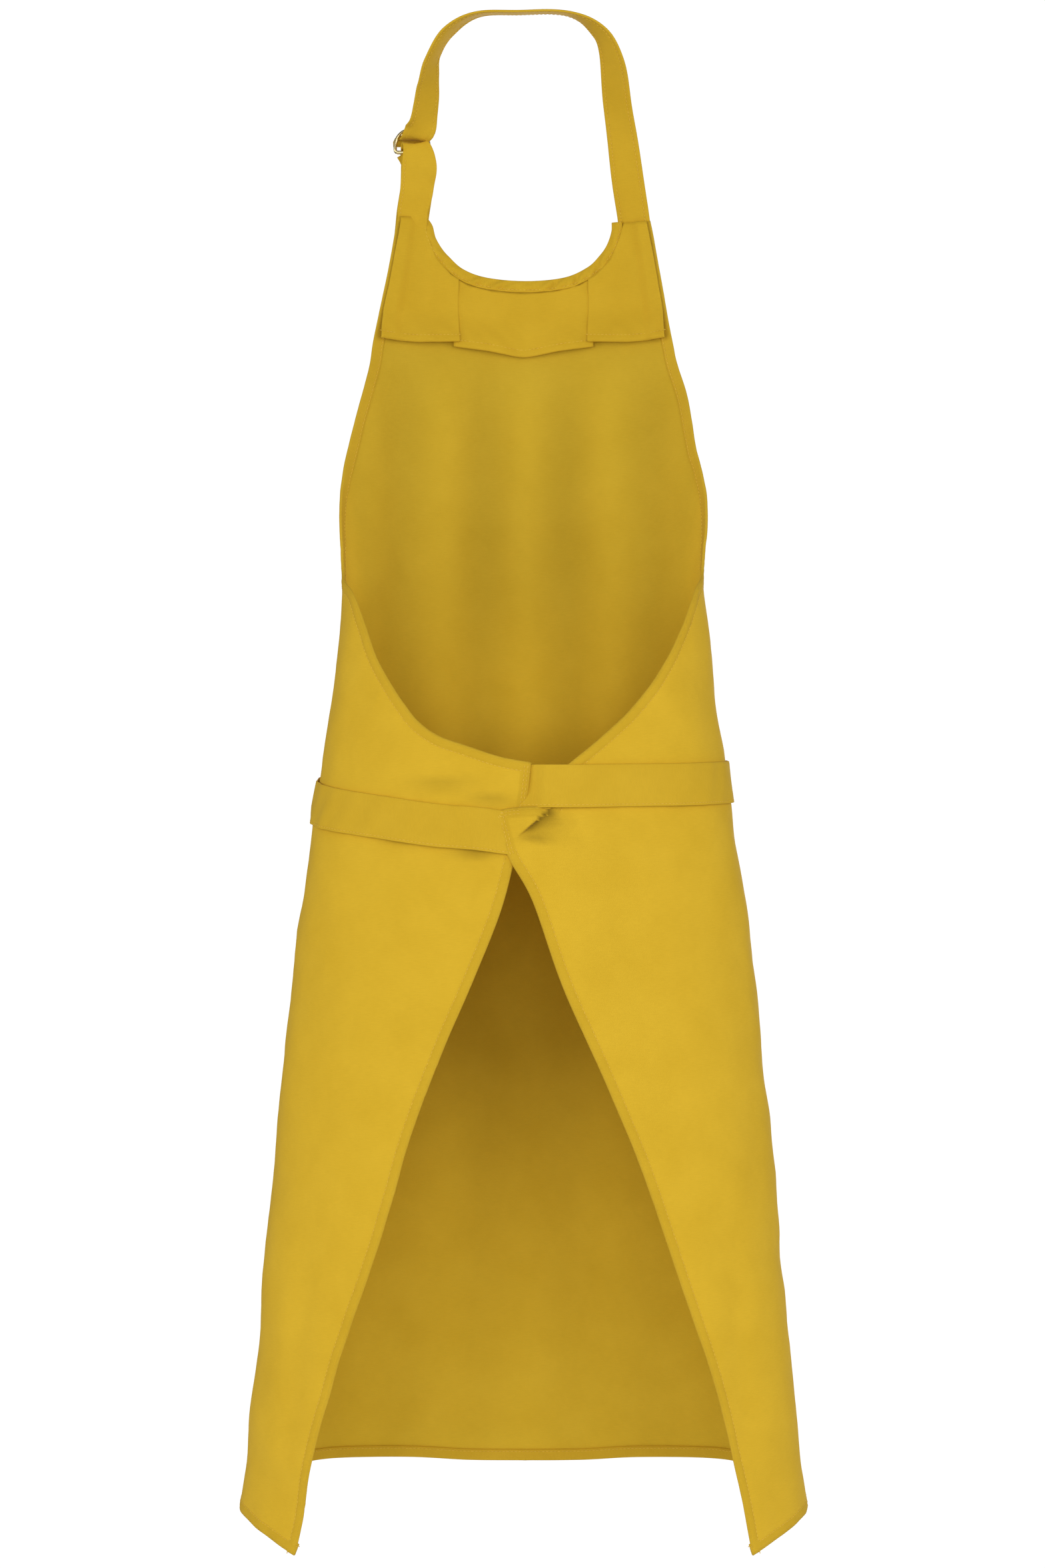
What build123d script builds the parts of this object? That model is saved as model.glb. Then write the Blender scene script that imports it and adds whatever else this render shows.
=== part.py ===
"""A bib apron as it is worn: front panel, wrap-round back wings, neck strap with two rings, and ties.

Frame: millimetres, +Z up. The wearer faces +Y, so the open back faces -Y. The origin is the inside
of the neck strap's top, where the apron hangs, and everything else is below it.
The cloth follows a worn form, given by its half width and half depth at a few heights. A place on
the form is a height and an angle: 0 is the front centre, 90 the +X side and 180 the back centre.
"""

import os
from math import asin, atan2, cos, degrees, radians, sin

from build123d import *

# Driving dimensions
CLOTH = 1.0  # thickness of the cloth solids
GAP = 0.3  # clear space between two layers of cloth
BIB_TOP = -138.0
NECKLINE_LOW = -183.0
NECKLINE_HALF = 67.0
SIDE_HEM = -1082.0  # height of the bottom edge at the wearer's sides
HEM_WIDTH = 8.0
TIE_WIDTH = 30.0
STRAP_WIDTH = 25.0
STRAP_THICK = 1.6
WIRE = 2.4  # diameter of the rings' wire
RING_HALF = 12.6  # half the length of a ring's straight bar, to the wire's centre
RING_STRAIGHT = 5.0  # straight part of a ring's sides, above its bar
REAR_RING_LEAN = 6.0  # degrees that each ring leans forward at rest
FRONT_RING_LEAN = 18.0
RING_PITCH = 3.0  # distance between the two rings' bars
RING_PLACE = Vector(-83.0, 66.0, -89.0)  # midway between the two bars
KNOT_PLACE = Vector(0.0, 101.5, -551.0)
KNOT_SIZE = (30.0, 15.0, 28.0)
LOOP_LENGTH = 95.0
LOOP_DEPTH = 11.0
LOOP_DROOP = 35.0
TAIL_LENGTH = 265.0

# The worn form: (height, half width) and (height, half depth)
HALF_WIDTH = [
    (-130, 168),
    (-260, 152),
    (-402, 131),
    (-480, 136.5),
    (-571, 149),
    (-648, 160.5),
    (-725, 169.5),
    (-840, 181),
    (-965, 192),
    (-1125, 209),
]
HALF_DEPTH = [
    (-130, 95),
    (-260, 98),
    (-402, 96),
    (-480, 93),
    (-571, 92),
    (-648, 97),
    (-725, 104),
    (-840, 113),
    (-965, 122),
    (-1125, 134),
]

# Edges of the cloth: (height, angle). The bib's side runs on over the hip as the armhole edge.
BIB_SIDE = [(BIB_TOP, 34.5), (-188, 40), (-230, 45.5), (-255, 49.7), (-310, 63), (-358, 78.5), (-402, 90)]
LEFT_ARMHOLE = [
    (-423, 110),
    (-445, 120),
    (-468, 128.5),
    (-488, 136.5),
    (-503, 142.7),
    (-515, 147.8),
    (-526, 155),
    (-533, 163),
    (-541, 171),
    (-546, 181),
]
RIGHT_ARMHOLE = [
    (-421, 109),
    (-445, 120.5),
    (-469, 130),
    (-491, 139.5),
    (-511, 148),
    (-528, 156),
    (-540, 162),
    (-547, 165.7),
]
LEFT_SLIT = [
    (-576, 181),
    (-615, 177.3),
    (-650, 174),
    (-694, 168),
    (-744, 161),
    (-800, 154),
    (-847, 150),
    (-902, 144.5),
    (-964, 137.5),
    (-1034, 132),
    (-1110, 128.5),
]
RIGHT_SLIT = [
    (-580, 187.5),
    (-612, 183.5),
    (-642, 177.5),
    (-705, 170),
    (-780, 159),
    (-854, 149.7),
    (-922, 142.5),
    (-966, 137.5),
    (-1017, 133),
    (-1110, 128.5),
]


def along(stations, height):
    """The value at a height, on a smooth curve through the stations."""
    last = len(stations) - 2
    i = 0
    while i < last and height < stations[i + 1][0]:
        i += 1
    (high, value), (low, next_value) = stations[i], stations[i + 1]
    before = stations[max(i - 1, 0)]
    after = stations[min(i + 2, last + 1)]
    span = low - high
    slope = (next_value - before[1]) / (low - before[0]) * span
    next_slope = (after[1] - value) / (after[0] - high) * span
    s = (height - high) / span
    rise = (3 - 2 * s) * s * s
    bend = s * (1 - s) * ((1 - s) * slope - s * next_slope)
    return value + rise * (next_value - value) + bend


def skin(height, angle, out=0.0):
    """A point `out` millimetres outside the worn form."""
    width = along(HALF_WIDTH, height)
    depth = along(HALF_DEPTH, height)
    turn = radians(angle)
    normal = Vector(sin(turn) / width, cos(turn) / depth, 0).normalized()
    return Vector(width * sin(turn), depth * cos(turn), height) + normal * out


def no_lift(angle):
    return 0.0


def wing_lift(angle):
    """The right wing rises off the form near the centre back, to lie over the left wing."""
    share = min(max((abs(angle) - 150) / 20, 0), 1)
    return 2 * (CLOTH + GAP) * share


def level_cut(height, start, end, lift=no_lift, thick=CLOTH):
    """One level cut through the cloth, from one angle round to another."""
    steps = 12
    angles = [start + (end - start) * i / steps for i in range(steps + 1)]
    outer_points = [skin(height, a, lift(a) + thick) for a in angles]
    inner_points = [skin(height, a, lift(a)) for a in angles]
    with BuildSketch(Plane.XY.offset(height)) as cut:
        with BuildLine():
            outside = Spline([(p.X, p.Y) for p in outer_points])
            inside = Spline([(p.X, p.Y) for p in inner_points])
            Line(outside @ 0, inside @ 0)
            Line(outside @ 1, inside @ 1)
        make_face()
    return cut.sketch.face()


def on_form(point):
    """The height and angle of the place on the form nearest to a point, at the point's height."""
    turn = atan2(point.X / along(HALF_WIDTH, point.Z), point.Y / along(HALF_DEPTH, point.Z))
    return point.Z, degrees(turn)


def across_form(points, out, side):
    """Places on the form, with the run of a line through them and the direction across it."""
    places = [skin(h, a, out) for h, a in points]
    frames = []
    for i, place in enumerate(places):
        run = places[min(i + 1, len(places) - 1)] - places[max(i - 1, 0)]
        normal = skin(*points[i], out + 1) - place
        frames.append((place, run.normalized(), normal.cross(run).normalized() * side))
    return frames


def band_planes(points, out, inset, side):
    """Planes across a band whose middle lies on the form, inset from an edge of heights and angles."""
    middles = [on_form(place + across * inset) for place, _, across in across_form(points, out, side)]
    planes = []
    for place, run, across in across_form(middles, out, side):
        planes.append(Plane(origin=place, x_dir=across, z_dir=run))
    return planes


def ribbon_planes(stations):
    """Planes across a free ribbon, through stations of place and width direction."""
    places = [Vector(*place) for place, _ in stations]
    planes = []
    for i, (_, across) in enumerate(stations):
        run = places[min(i + 1, len(places) - 1)] - places[max(i - 1, 0)]
        wide = Vector(*across)
        wide = wide - run * (wide.dot(run) / run.dot(run))
        planes.append(Plane(origin=places[i], x_dir=wide.normalized(), z_dir=run.normalized()))
    return planes


def smooth_ribbon(stations, parts=4):
    """Puts even steps on a smooth curve through stations of place, width direction and width."""
    last = len(stations) - 1
    filled = []
    for step in range(last * parts + 1):
        s = step / parts
        columns = []
        for axis in range(3):
            columns.append(along([(-i, stations[i][0][axis]) for i in range(last + 1)], -s))
        for axis in range(3):
            columns.append(along([(-i, stations[i][1][axis]) for i in range(last + 1)], -s))
        width = along([(-i, stations[i][2]) for i in range(last + 1)], -s)
        filled.append((tuple(columns[:3]), tuple(columns[3:]), width))
    return filled


def densify(points, parts=2):
    """Puts even steps between points of height and angle."""
    filled = []
    for (h0, a0), (h1, a1) in zip(points, points[1:]):
        for i in range(parts):
            filled.append((h0 + (h1 - h0) * i / parts, a0 + (a1 - a0) * i / parts))
    return filled + [points[-1]]


os.makedirs("parts", exist_ok=True)

# Front panel: bib and skirt front, with its sides at the wearer's sides
skirt_levels = [(h, 90) for h in range(-440, -1120, -45)] + [(-1118, 90)]
front_levels = densify(BIB_SIDE, 4) + skirt_levels
with BuildPart() as front_panel:
    loft(sections=[level_cut(h, -a, a) for h, a in front_levels], ruled=True)
    with BuildSketch(Plane.XZ):
        with BuildLine():
            rim = Spline(
                (-NECKLINE_HALF, BIB_TOP + 1),
                (-59, BIB_TOP - 27),
                (-36, NECKLINE_LOW + 4),
                (0, NECKLINE_LOW),
                (36, NECKLINE_LOW + 4),
                (59, BIB_TOP - 27),
                (NECKLINE_HALF, BIB_TOP + 1),
            )
            Line(rim @ 1, rim @ 0)
        make_face()
    extrude(amount=-200, mode=Mode.SUBTRACT)
    with BuildSketch(Plane.XZ):
        with BuildLine():
            foot = Spline(
                (-215, SIDE_HEM - 1),
                (-158, SIDE_HEM + 15),
                (0, SIDE_HEM + 6),
                (158, SIDE_HEM + 15),
                (215, SIDE_HEM - 1),
            )
            Polyline(foot @ 1, (215, -1130), (-215, -1130), foot @ 0)
        make_face()
    extrude(amount=-200, mode=Mode.SUBTRACT)

# Back wings: from the wearer's sides to the centre back, where the right one lies over the left
left_back_edge = densify([(-404, 92)] + LEFT_ARMHOLE + LEFT_SLIT)
with BuildPart() as left_wing:
    loft(sections=[level_cut(h, -90, -a) for h, a in left_back_edge], ruled=True)
    with BuildSketch(Plane.XZ):
        Polygon((-215, SIDE_HEM), (-150, -1103), (-150, -1130), (-215, -1130), align=None)
    extrude(amount=200, mode=Mode.SUBTRACT)

right_back_edge = densify([(-404, 92)] + RIGHT_ARMHOLE + [(-576, 172.6), (-577.4, 183)] + RIGHT_SLIT)
with BuildPart() as right_wing:
    loft(sections=[level_cut(h, 90, a, wing_lift) for h, a in right_back_edge], ruled=True)
    with BuildSketch(Plane.XZ):
        Polygon((215, SIDE_HEM), (150, -1103), (150, -1130), (215, -1130), align=None)
    extrude(amount=200, mode=Mode.SUBTRACT)

# Hems: folded bands on the inside of the cloth, along the free edges
inside_face = -GAP - 0.2 - CLOTH / 2
left_edge = densify(BIB_SIDE + LEFT_ARMHOLE[:-1], 3)
with BuildPart() as left_armhole_hem:
    for plane in band_planes([(h, -a) for h, a in left_edge], inside_face, HEM_WIDTH / 2 + 0.5, -1):
        with BuildSketch(plane):
            Rectangle(HEM_WIDTH, CLOTH)
    loft(ruled=True)

right_edge = densify(BIB_SIDE + RIGHT_ARMHOLE[:-1], 3)
with BuildPart() as right_armhole_hem:
    for plane in band_planes(right_edge, inside_face, HEM_WIDTH / 2 + 0.5, 1):
        with BuildSketch(plane):
            Rectangle(HEM_WIDTH, CLOTH)
    loft(ruled=True)

with BuildPart() as left_slit_hem:
    for plane in band_planes([(h, -a) for h, a in LEFT_SLIT[2:-1]], inside_face, HEM_WIDTH / 2 + 0.5, -1):
        with BuildSketch(plane):
            Rectangle(HEM_WIDTH, CLOTH)
    loft(ruled=True)

with BuildPart() as right_slit_hem:
    for plane in band_planes(RIGHT_SLIT[3:-1], inside_face, HEM_WIDTH / 2 + 0.5, 1):
        with BuildSketch(plane):
            Rectangle(HEM_WIDTH, CLOTH)
    loft(ruled=True)

front_foot = [(SIDE_HEM + 4, -84), (SIDE_HEM + 15, -50), (SIDE_HEM + 11, -25), (SIDE_HEM + 7, 0)]
front_foot = front_foot + [(h, -a) for h, a in front_foot[-2::-1]]
with BuildPart() as front_hem:
    for plane in band_planes(densify(front_foot, 8), inside_face, HEM_WIDTH / 2 + 0.5, -1):
        with BuildSketch(plane):
            Rectangle(HEM_WIDTH, CLOTH)
    loft(ruled=True)

wing_foot = [(SIDE_HEM, 92), (SIDE_HEM - 7, 105), (SIDE_HEM - 14, 118), (SIDE_HEM - 18, 127)]
with BuildPart() as left_wing_hem:
    for plane in band_planes([(h, -a) for h, a in densify(wing_foot, 4)], inside_face, 5.5, 1):
        with BuildSketch(plane):
            Rectangle(HEM_WIDTH, CLOTH)
    loft(ruled=True)

with BuildPart() as right_wing_hem:
    for plane in band_planes(densify(wing_foot, 4), inside_face, 5.5, -1):
        with BuildSketch(plane):
            Rectangle(HEM_WIDTH, CLOTH)
    loft(ruled=True)

# Facing: a second layer inside the bib, seamed in three sections, with a band along the neckline
facing_levels = [BIB_TOP - 1.5 - 17 * i for i in range(8)]
facing_foot = -233.0
facing_point = -239.5
seam_half = 50.5


def bib_angle(x, height):
    """The angle at which the bib reaches a distance from its middle."""
    return degrees(asin(x / along(HALF_WIDTH, height)))


neck_rim = [(-NECKLINE_HALF, BIB_TOP + 1), (-59, BIB_TOP - 27), (-36, NECKLINE_LOW + 4), (0, NECKLINE_LOW)]
neck_rim = neck_rim + [(-x, h) for x, h in neck_rim[-2::-1]]
facing_rim = [(-76, BIB_TOP + 1), (-68, BIB_TOP - 31), (-42, NECKLINE_LOW - 5), (0, NECKLINE_LOW - 9)]
facing_rim = facing_rim + [(-x, h) for x, h in facing_rim[-2::-1]]

with BuildPart() as facing_centre:
    loft(
        sections=[
            level_cut(h, -bib_angle(seam_half, h), bib_angle(seam_half, h), lambda a: -GAP - CLOTH)
            for h in facing_levels
        ],
        ruled=True,
    )
    with BuildSketch(Plane.XZ):
        with BuildLine():
            rim = Spline(facing_rim)
            Line(rim @ 1, rim @ 0)
        make_face()
    extrude(amount=-200, mode=Mode.SUBTRACT)
    with BuildSketch(Plane.XZ):
        Polygon(
            (-90, facing_foot),
            (0, facing_point),
            (90, facing_foot),
            (90, -290),
            (-90, -290),
            align=None,
        )
    extrude(amount=-200, mode=Mode.SUBTRACT)

side_facings = {}
for name, side in (("facing_left", -1), ("facing_right", 1)):
    with BuildPart() as facing_side:
        loft(
            sections=[
                level_cut(
                    h,
                    side * bib_angle(seam_half + GAP, h),
                    side * (along(BIB_SIDE, h) - degrees((HEM_WIDTH + 1.2) / 130)),
                    lambda a: -GAP - CLOTH,
                )
                for h in facing_levels
            ],
            ruled=True,
        )
        with BuildSketch(Plane.XZ):
            with BuildLine():
                rim = Spline(facing_rim)
                Line(rim @ 1, rim @ 0)
            make_face()
        extrude(amount=-200, mode=Mode.SUBTRACT)
        with BuildSketch(Plane.XZ):
            with Locations((0, facing_foot + 2 - 50)):
                Rectangle(300, 100)
        extrude(amount=-200, mode=Mode.SUBTRACT)
    side_facings[name] = facing_side
facing_left = side_facings["facing_left"]
facing_right = side_facings["facing_right"]

neck_edge = [(h, bib_angle(x, h)) for x, h in neck_rim]
neck_edge[0] = (BIB_TOP - 1.5, neck_edge[0][1])
neck_edge[-1] = (BIB_TOP - 1.5, neck_edge[-1][1])
with BuildPart() as neck_band:
    for plane in band_planes(densify(neck_edge, 3), inside_face, HEM_WIDTH / 2 + 0.3, 1):
        with BuildSketch(plane):
            Rectangle(HEM_WIDTH - 1, CLOTH)
    loft(ruled=True)

# Neck strap: sewn to the bib's +X corner, over the neck, through both rings. Each station is the
# middle of the ribbon, its width direction and its width.
strap_stations = [
    ((82.5, 81.0, BIB_TOP + 0.8), (1, 0.35, 0), 25),
    ((77.5, 66.0, -108.0), (0.93, -0.3, 0), 25),
    ((70.0, 42.0, -62.0), (0.78, -0.62, 0), 25),
    ((63.5, 14.0, -29.0), (0.54, -0.83, 0), 25),
    ((54.0, 4.0, -12.0), (0.25, -0.95, 0.1), 25),
    ((34.0, 0.5, -1.0), (0.05, -1, -0.1), 25),
    ((0.0, 0.0, 0.8), (0, -1, -0.12), 25),
    ((-32.0, 0.5, -0.6), (-0.05, -1, -0.1), 25),
    ((-54.0, 5.0, -12.5), (-0.1, -0.99, 0.1), 25),
    ((-66.0, 16.0, -29.0), (-0.25, -0.97, 0), 25),
    ((-70.0, 32.0, -47.0), (-0.45, -0.88, 0), 24),
    ((-74.0, 49.0, -63.5), (-0.75, -0.65, 0), 22),
    ((-82.0, 56.8, -71.5), (-1, -0.1, 0), 17),
    ((-83.0, 66.0, -79.3), (-1, 0, 0), 15),
    ((-83.5, 72.8, -84.0), (-1, 0, 0), 17),
]
strap_line = smooth_ribbon(strap_stations)
strap_planes = ribbon_planes([(place, across) for place, across, _ in strap_line])
with BuildPart() as neck_strap:
    for plane, station in zip(strap_planes, strap_line):
        with BuildSketch(plane):
            Rectangle(station[2], STRAP_THICK)
    loft(ruled=True)

# The strap's free end hangs in front of the ring tab
tail_top = (-83.5, 74.6, -86.5)
tail_stations = [
    (tail_top, (-1, 0, 0), 20),
    ((-84.5, 77.8, -100.0), (-1, -0.1, 0), STRAP_WIDTH),
    ((-86.0, 83.4, -128.0), (-1, -0.25, 0), STRAP_WIDTH),
    ((-87.0, 87.0, -150.0), (-1, -0.33, 0), STRAP_WIDTH),
    ((-88.0, 89.5, -180.0), (-1, -0.33, 0), STRAP_WIDTH),
]
tail_line = smooth_ribbon(tail_stations, 2)
tail_planes = ribbon_planes([(place, across) for place, across, _ in tail_line])
with BuildPart() as strap_tail:
    for plane, station in zip(tail_planes, tail_line):
        with BuildSketch(plane):
            Rectangle(station[2], STRAP_THICK)
    loft(ruled=True)

# Ring tab: sewn to the bib's -X corner and folded over the straight bars of both rings
tab_half = 11.0
bar_y = RING_PLACE.Y
bar_z = RING_PLACE.Z
with BuildPart() as ring_tab:
    with BuildSketch(Plane.YZ.offset(RING_PLACE.X - tab_half)):
        with BuildLine():
            rear = Polyline((bar_y + 13.2, BIB_TOP + 0.6), (bar_y - 4.4, bar_z - 7), (bar_y - 4.4, bar_z))
            ThreePointArc(rear @ 1, (bar_y, bar_z + 4.4), (bar_y + 4.4, bar_z))
            Polyline(
                (bar_y + 4.4, bar_z),
                (bar_y + 4.4, bar_z - 7),
                (bar_y + 15.6, BIB_TOP + 0.6),
                rear @ 0,
            )
        make_face()
        with Locations((bar_y, bar_z)):
            SlotOverall(RING_PITCH + WIRE + 0.6, WIRE + 0.6, mode=Mode.SUBTRACT)
    extrude(amount=2 * tab_half)

# Rings: wire bent to a straight bar and a round bow, leaning forward together
rings = {}
ring_poses = (("rear_ring", -0.5, REAR_RING_LEAN), ("front_ring", 0.5, FRONT_RING_LEAN))
for name, share, lean in ring_poses:
    ring_plane = Plane(
        origin=RING_PLACE + Vector(0, share * RING_PITCH, 0),
        x_dir=(1, 0, 0),
        z_dir=(0, -cos(radians(lean)), sin(radians(lean))),
    )
    with BuildPart() as ring:
        with BuildLine(ring_plane) as ring_path:
            Line((-RING_HALF + 2, 0), (RING_HALF - 2, 0))
            RadiusArc((RING_HALF - 2, 0), (RING_HALF, 2), -2)
            Line((RING_HALF, 2), (RING_HALF, RING_STRAIGHT))
            RadiusArc((RING_HALF, RING_STRAIGHT), (0, RING_STRAIGHT + RING_HALF), -RING_HALF)
            RadiusArc((0, RING_STRAIGHT + RING_HALF), (-RING_HALF, RING_STRAIGHT), -RING_HALF)
            Line((-RING_HALF, RING_STRAIGHT), (-RING_HALF, 2))
            RadiusArc((-RING_HALF, 2), (-RING_HALF + 2, 0), -2)
        with BuildSketch(Plane(origin=ring_path.wire() @ 0, z_dir=ring_path.wire() % 0)):
            Circle(WIRE / 2)
        sweep(transition=Transition.ROUND)
    rings[name] = ring
rear_ring = rings["rear_ring"]
front_ring = rings["front_ring"]

# Ties: each starts under a wing's end at the centre back and runs round to the knot in front
left_tie_path = [
    (-594, -176.5),
    (-591, -168),
    (-588.5, -156),
    (-583.5, -140),
    (-579, -122),
    (-574, -100),
    (-570, -82),
    (-566, -64),
    (-561, -44),
    (-556, -26),
    (-552, -15),
    (-551, -8),
]
right_tie_path = [
    (-561, 177.3),
    (-561, 172.5),
    (-561, 165),
    (-560.5, 150),
    (-560, 132),
    (-559, 112),
    (-558, 92),
    (-556.5, 72),
    (-555, 50),
    (-553, 30),
    (-551.5, 16),
    (-551, 8),
]
tie_out = CLOTH + 0.45 + CLOTH / 2


def left_tie_lift(angle):
    return tie_out


def right_tie_lift(angle):
    """The right tie comes out from under the left wing's end, then lies over the right wing."""
    over_wing = tie_out + wing_lift(angle)
    share = min(max((angle - 172.5) / 4.8, 0), 1)
    return over_wing + (0.8 - over_wing) * share


def tie_planes(path, lift):
    """Planes across a tie that follows the form, at its own distance outside it."""
    stations = []
    for height, angle in densify(path, 4):
        out = lift(angle)
        up = skin(height + 5, angle, out) - skin(height - 5, angle, out)
        stations.append((skin(height, angle, out), up))
    return ribbon_planes(stations)


with BuildPart() as left_tie:
    for plane in tie_planes(left_tie_path, left_tie_lift):
        with BuildSketch(plane):
            Rectangle(TIE_WIDTH, CLOTH)
    loft(ruled=True)

with BuildPart() as right_tie:
    for plane in tie_planes(right_tie_path, right_tie_lift):
        with BuildSketch(plane):
            Rectangle(TIE_WIDTH, CLOTH)
    loft(ruled=True)

# Bow: a knot at the centre front with two loops and two tails
with BuildPart() as bow_knot:
    with Locations(KNOT_PLACE):
        Box(*KNOT_SIZE)
    fillet(bow_knot.edges(), 5)

loops = {}
for name, side in (("left_bow_loop", -1), ("right_bow_loop", 1)):
    root = KNOT_PLACE + Vector(side * (KNOT_SIZE[0] / 2 + 3.2), 0, -1)
    reach = Vector(side * cos(radians(LOOP_DROOP)), 0, -sin(radians(LOOP_DROOP)))
    up = Vector(side * sin(radians(LOOP_DROOP)), 0, cos(radians(LOOP_DROOP)))
    flat = Plane(origin=root - up * (TIE_WIDTH / 2 - 1), x_dir=reach, z_dir=up)
    with BuildPart() as bow_loop:
        with BuildSketch(flat):
            with BuildLine():
                rim = Spline(
                    (0, -0.6),
                    (LOOP_LENGTH * 0.35, -LOOP_DEPTH * 0.42),
                    (LOOP_LENGTH * 0.8, -LOOP_DEPTH * 0.5),
                    (LOOP_LENGTH, 0),
                    (LOOP_LENGTH * 0.8, LOOP_DEPTH * 0.5),
                    (LOOP_LENGTH * 0.35, LOOP_DEPTH * 0.42),
                    (0, 0.6),
                )
                Line(rim @ 1, rim @ 0)
            make_face()
            with BuildLine():
                hollow = Spline(
                    (LOOP_LENGTH * 0.16, 0),
                    (LOOP_LENGTH * 0.4, -LOOP_DEPTH * 0.42 + CLOTH),
                    (LOOP_LENGTH * 0.8, -LOOP_DEPTH * 0.5 + CLOTH),
                    (LOOP_LENGTH - CLOTH - 0.2, 0),
                    (LOOP_LENGTH * 0.8, LOOP_DEPTH * 0.5 - CLOTH),
                    (LOOP_LENGTH * 0.4, LOOP_DEPTH * 0.42 - CLOTH),
                    periodic=True,
                )
            make_face(mode=Mode.SUBTRACT)
        extrude(amount=TIE_WIDTH - 2)
        with BuildSketch(Plane(origin=root, x_dir=reach, z_dir=(0, -side, 0))):
            Polygon((0, -5), (32, -14), (120, -14), (120, 14), (32, 14), (0, 5), align=None)
        extrude(amount=30, both=True, mode=Mode.INTERSECT)
    loops[name] = bow_loop
left_bow_loop = loops["left_bow_loop"]
right_bow_loop = loops["right_bow_loop"]

tails = {}
for name, side in (("left_tie_tail", -1), ("right_tie_tail", 1)):
    start = KNOT_PLACE + Vector(side * 9, 0, -KNOT_SIZE[2] / 2 - 0.8)
    tail_line = [
        (start, (1, 0, 0), 13),
        (start + Vector(side * 4, -0.5, -14), (1, 0, 0), 17),
        (start + Vector(side * 12, 0.5, -45), (1, 0, 0), 28),
        (start + Vector(side * 20, 6.5, -110), (1, 0, 0), TIE_WIDTH),
        (start + Vector(side * 27, 14, -190), (1, 0, 0), TIE_WIDTH),
        (start + Vector(side * 32, 20.5, -TAIL_LENGTH), (1, 0, 0), TIE_WIDTH),
    ]
    planes = ribbon_planes([(place, across) for place, across, _ in tail_line])
    with BuildPart() as tie_tail:
        for plane, station in zip(planes, tail_line):
            with BuildSketch(plane):
                Rectangle(station[2], CLOTH)
        loft()
    tails[name] = tie_tail
left_tie_tail = tails["left_tie_tail"]
right_tie_tail = tails["right_tie_tail"]

nodes = {
    "front_panel": front_panel,
    "left_wing": left_wing,
    "right_wing": right_wing,
    "left_armhole_hem": left_armhole_hem,
    "right_armhole_hem": right_armhole_hem,
    "left_slit_hem": left_slit_hem,
    "right_slit_hem": right_slit_hem,
    "front_hem": front_hem,
    "left_wing_hem": left_wing_hem,
    "right_wing_hem": right_wing_hem,
    "facing_centre": facing_centre,
    "facing_left": facing_left,
    "facing_right": facing_right,
    "neck_band": neck_band,
    "neck_strap": neck_strap,
    "strap_tail": strap_tail,
    "ring_tab": ring_tab,
    "rear_ring": rear_ring,
    "front_ring": front_ring,
    "left_tie": left_tie,
    "right_tie": right_tie,
    "bow_knot": bow_knot,
    "left_bow_loop": left_bow_loop,
    "right_bow_loop": right_bow_loop,
    "left_tie_tail": left_tie_tail,
    "right_tie_tail": right_tie_tail,
}
for name, node in nodes.items():
    node.part.label = name
    export_step(node.part, f"parts/{name}.step")
    print(name, round(node.part.volume), node.part.bounding_box().size)
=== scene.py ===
# %% [markdown]
# # A bib apron seen from behind
# The apron hangs in the shape it takes on a wearer, who faces +Y. Its cloth follows a worn form: a
# stack of ellipses from the chest to the knee. A place on the form is a height and an angle, where 0
# is the front centre, 90 the +X side and 180 the back centre. Every cloth piece, hem, tie and row of
# stitches here is laid out with those two numbers, so that they all fit each other.

import bmesh
import bpy
import math
import numpy as np
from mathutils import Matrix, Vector
from mathutils.geometry import delaunay_2d_cdt
from mathutils.kdtree import KDTree


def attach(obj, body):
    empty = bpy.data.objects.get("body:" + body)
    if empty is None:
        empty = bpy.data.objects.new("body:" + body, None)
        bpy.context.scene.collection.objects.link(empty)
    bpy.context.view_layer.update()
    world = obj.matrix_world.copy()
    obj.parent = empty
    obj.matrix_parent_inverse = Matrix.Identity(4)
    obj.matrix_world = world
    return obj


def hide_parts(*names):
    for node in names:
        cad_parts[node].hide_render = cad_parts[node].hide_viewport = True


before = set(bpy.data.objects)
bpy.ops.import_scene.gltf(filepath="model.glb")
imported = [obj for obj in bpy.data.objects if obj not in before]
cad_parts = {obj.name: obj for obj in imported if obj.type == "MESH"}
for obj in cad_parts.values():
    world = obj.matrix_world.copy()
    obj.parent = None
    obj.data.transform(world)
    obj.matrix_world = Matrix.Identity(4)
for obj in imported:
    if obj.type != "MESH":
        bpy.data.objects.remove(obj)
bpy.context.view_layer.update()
print("frame nodes", len(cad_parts))

# %% [markdown]
# ## Driving sizes
# Cotton drill of about 0.9 mm with its finish, 8 mm turned hems, 30 mm ties and a 25 mm neck strap
# are the usual sizes of an adult apron. The form's half width and half depth are given at a few
# heights, and a smooth curve runs through them.

# %% Sizes
MM = 0.001
CLOTH = 0.9 * MM
HEM = 8  # width of a turned hem, in mm
STITCH_IN = 6.4 * MM  # distance of a hem's stitches from its edge
TIE = 30 * MM
STRAP_THICK = 1.6 * MM
THREAD = 0.6 * MM
THREAD_SINK = 0.12 * MM  # from a cloth's face to the middle of its stitches
STITCH = 3.0 * MM  # length from one stitch to the next
EDGE_STEP = 3 * MM  # spacing of the mesh along an edge
GRID_STEP = 6.5 * MM  # spacing of the mesh inside a panel
SEED = 7

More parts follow.
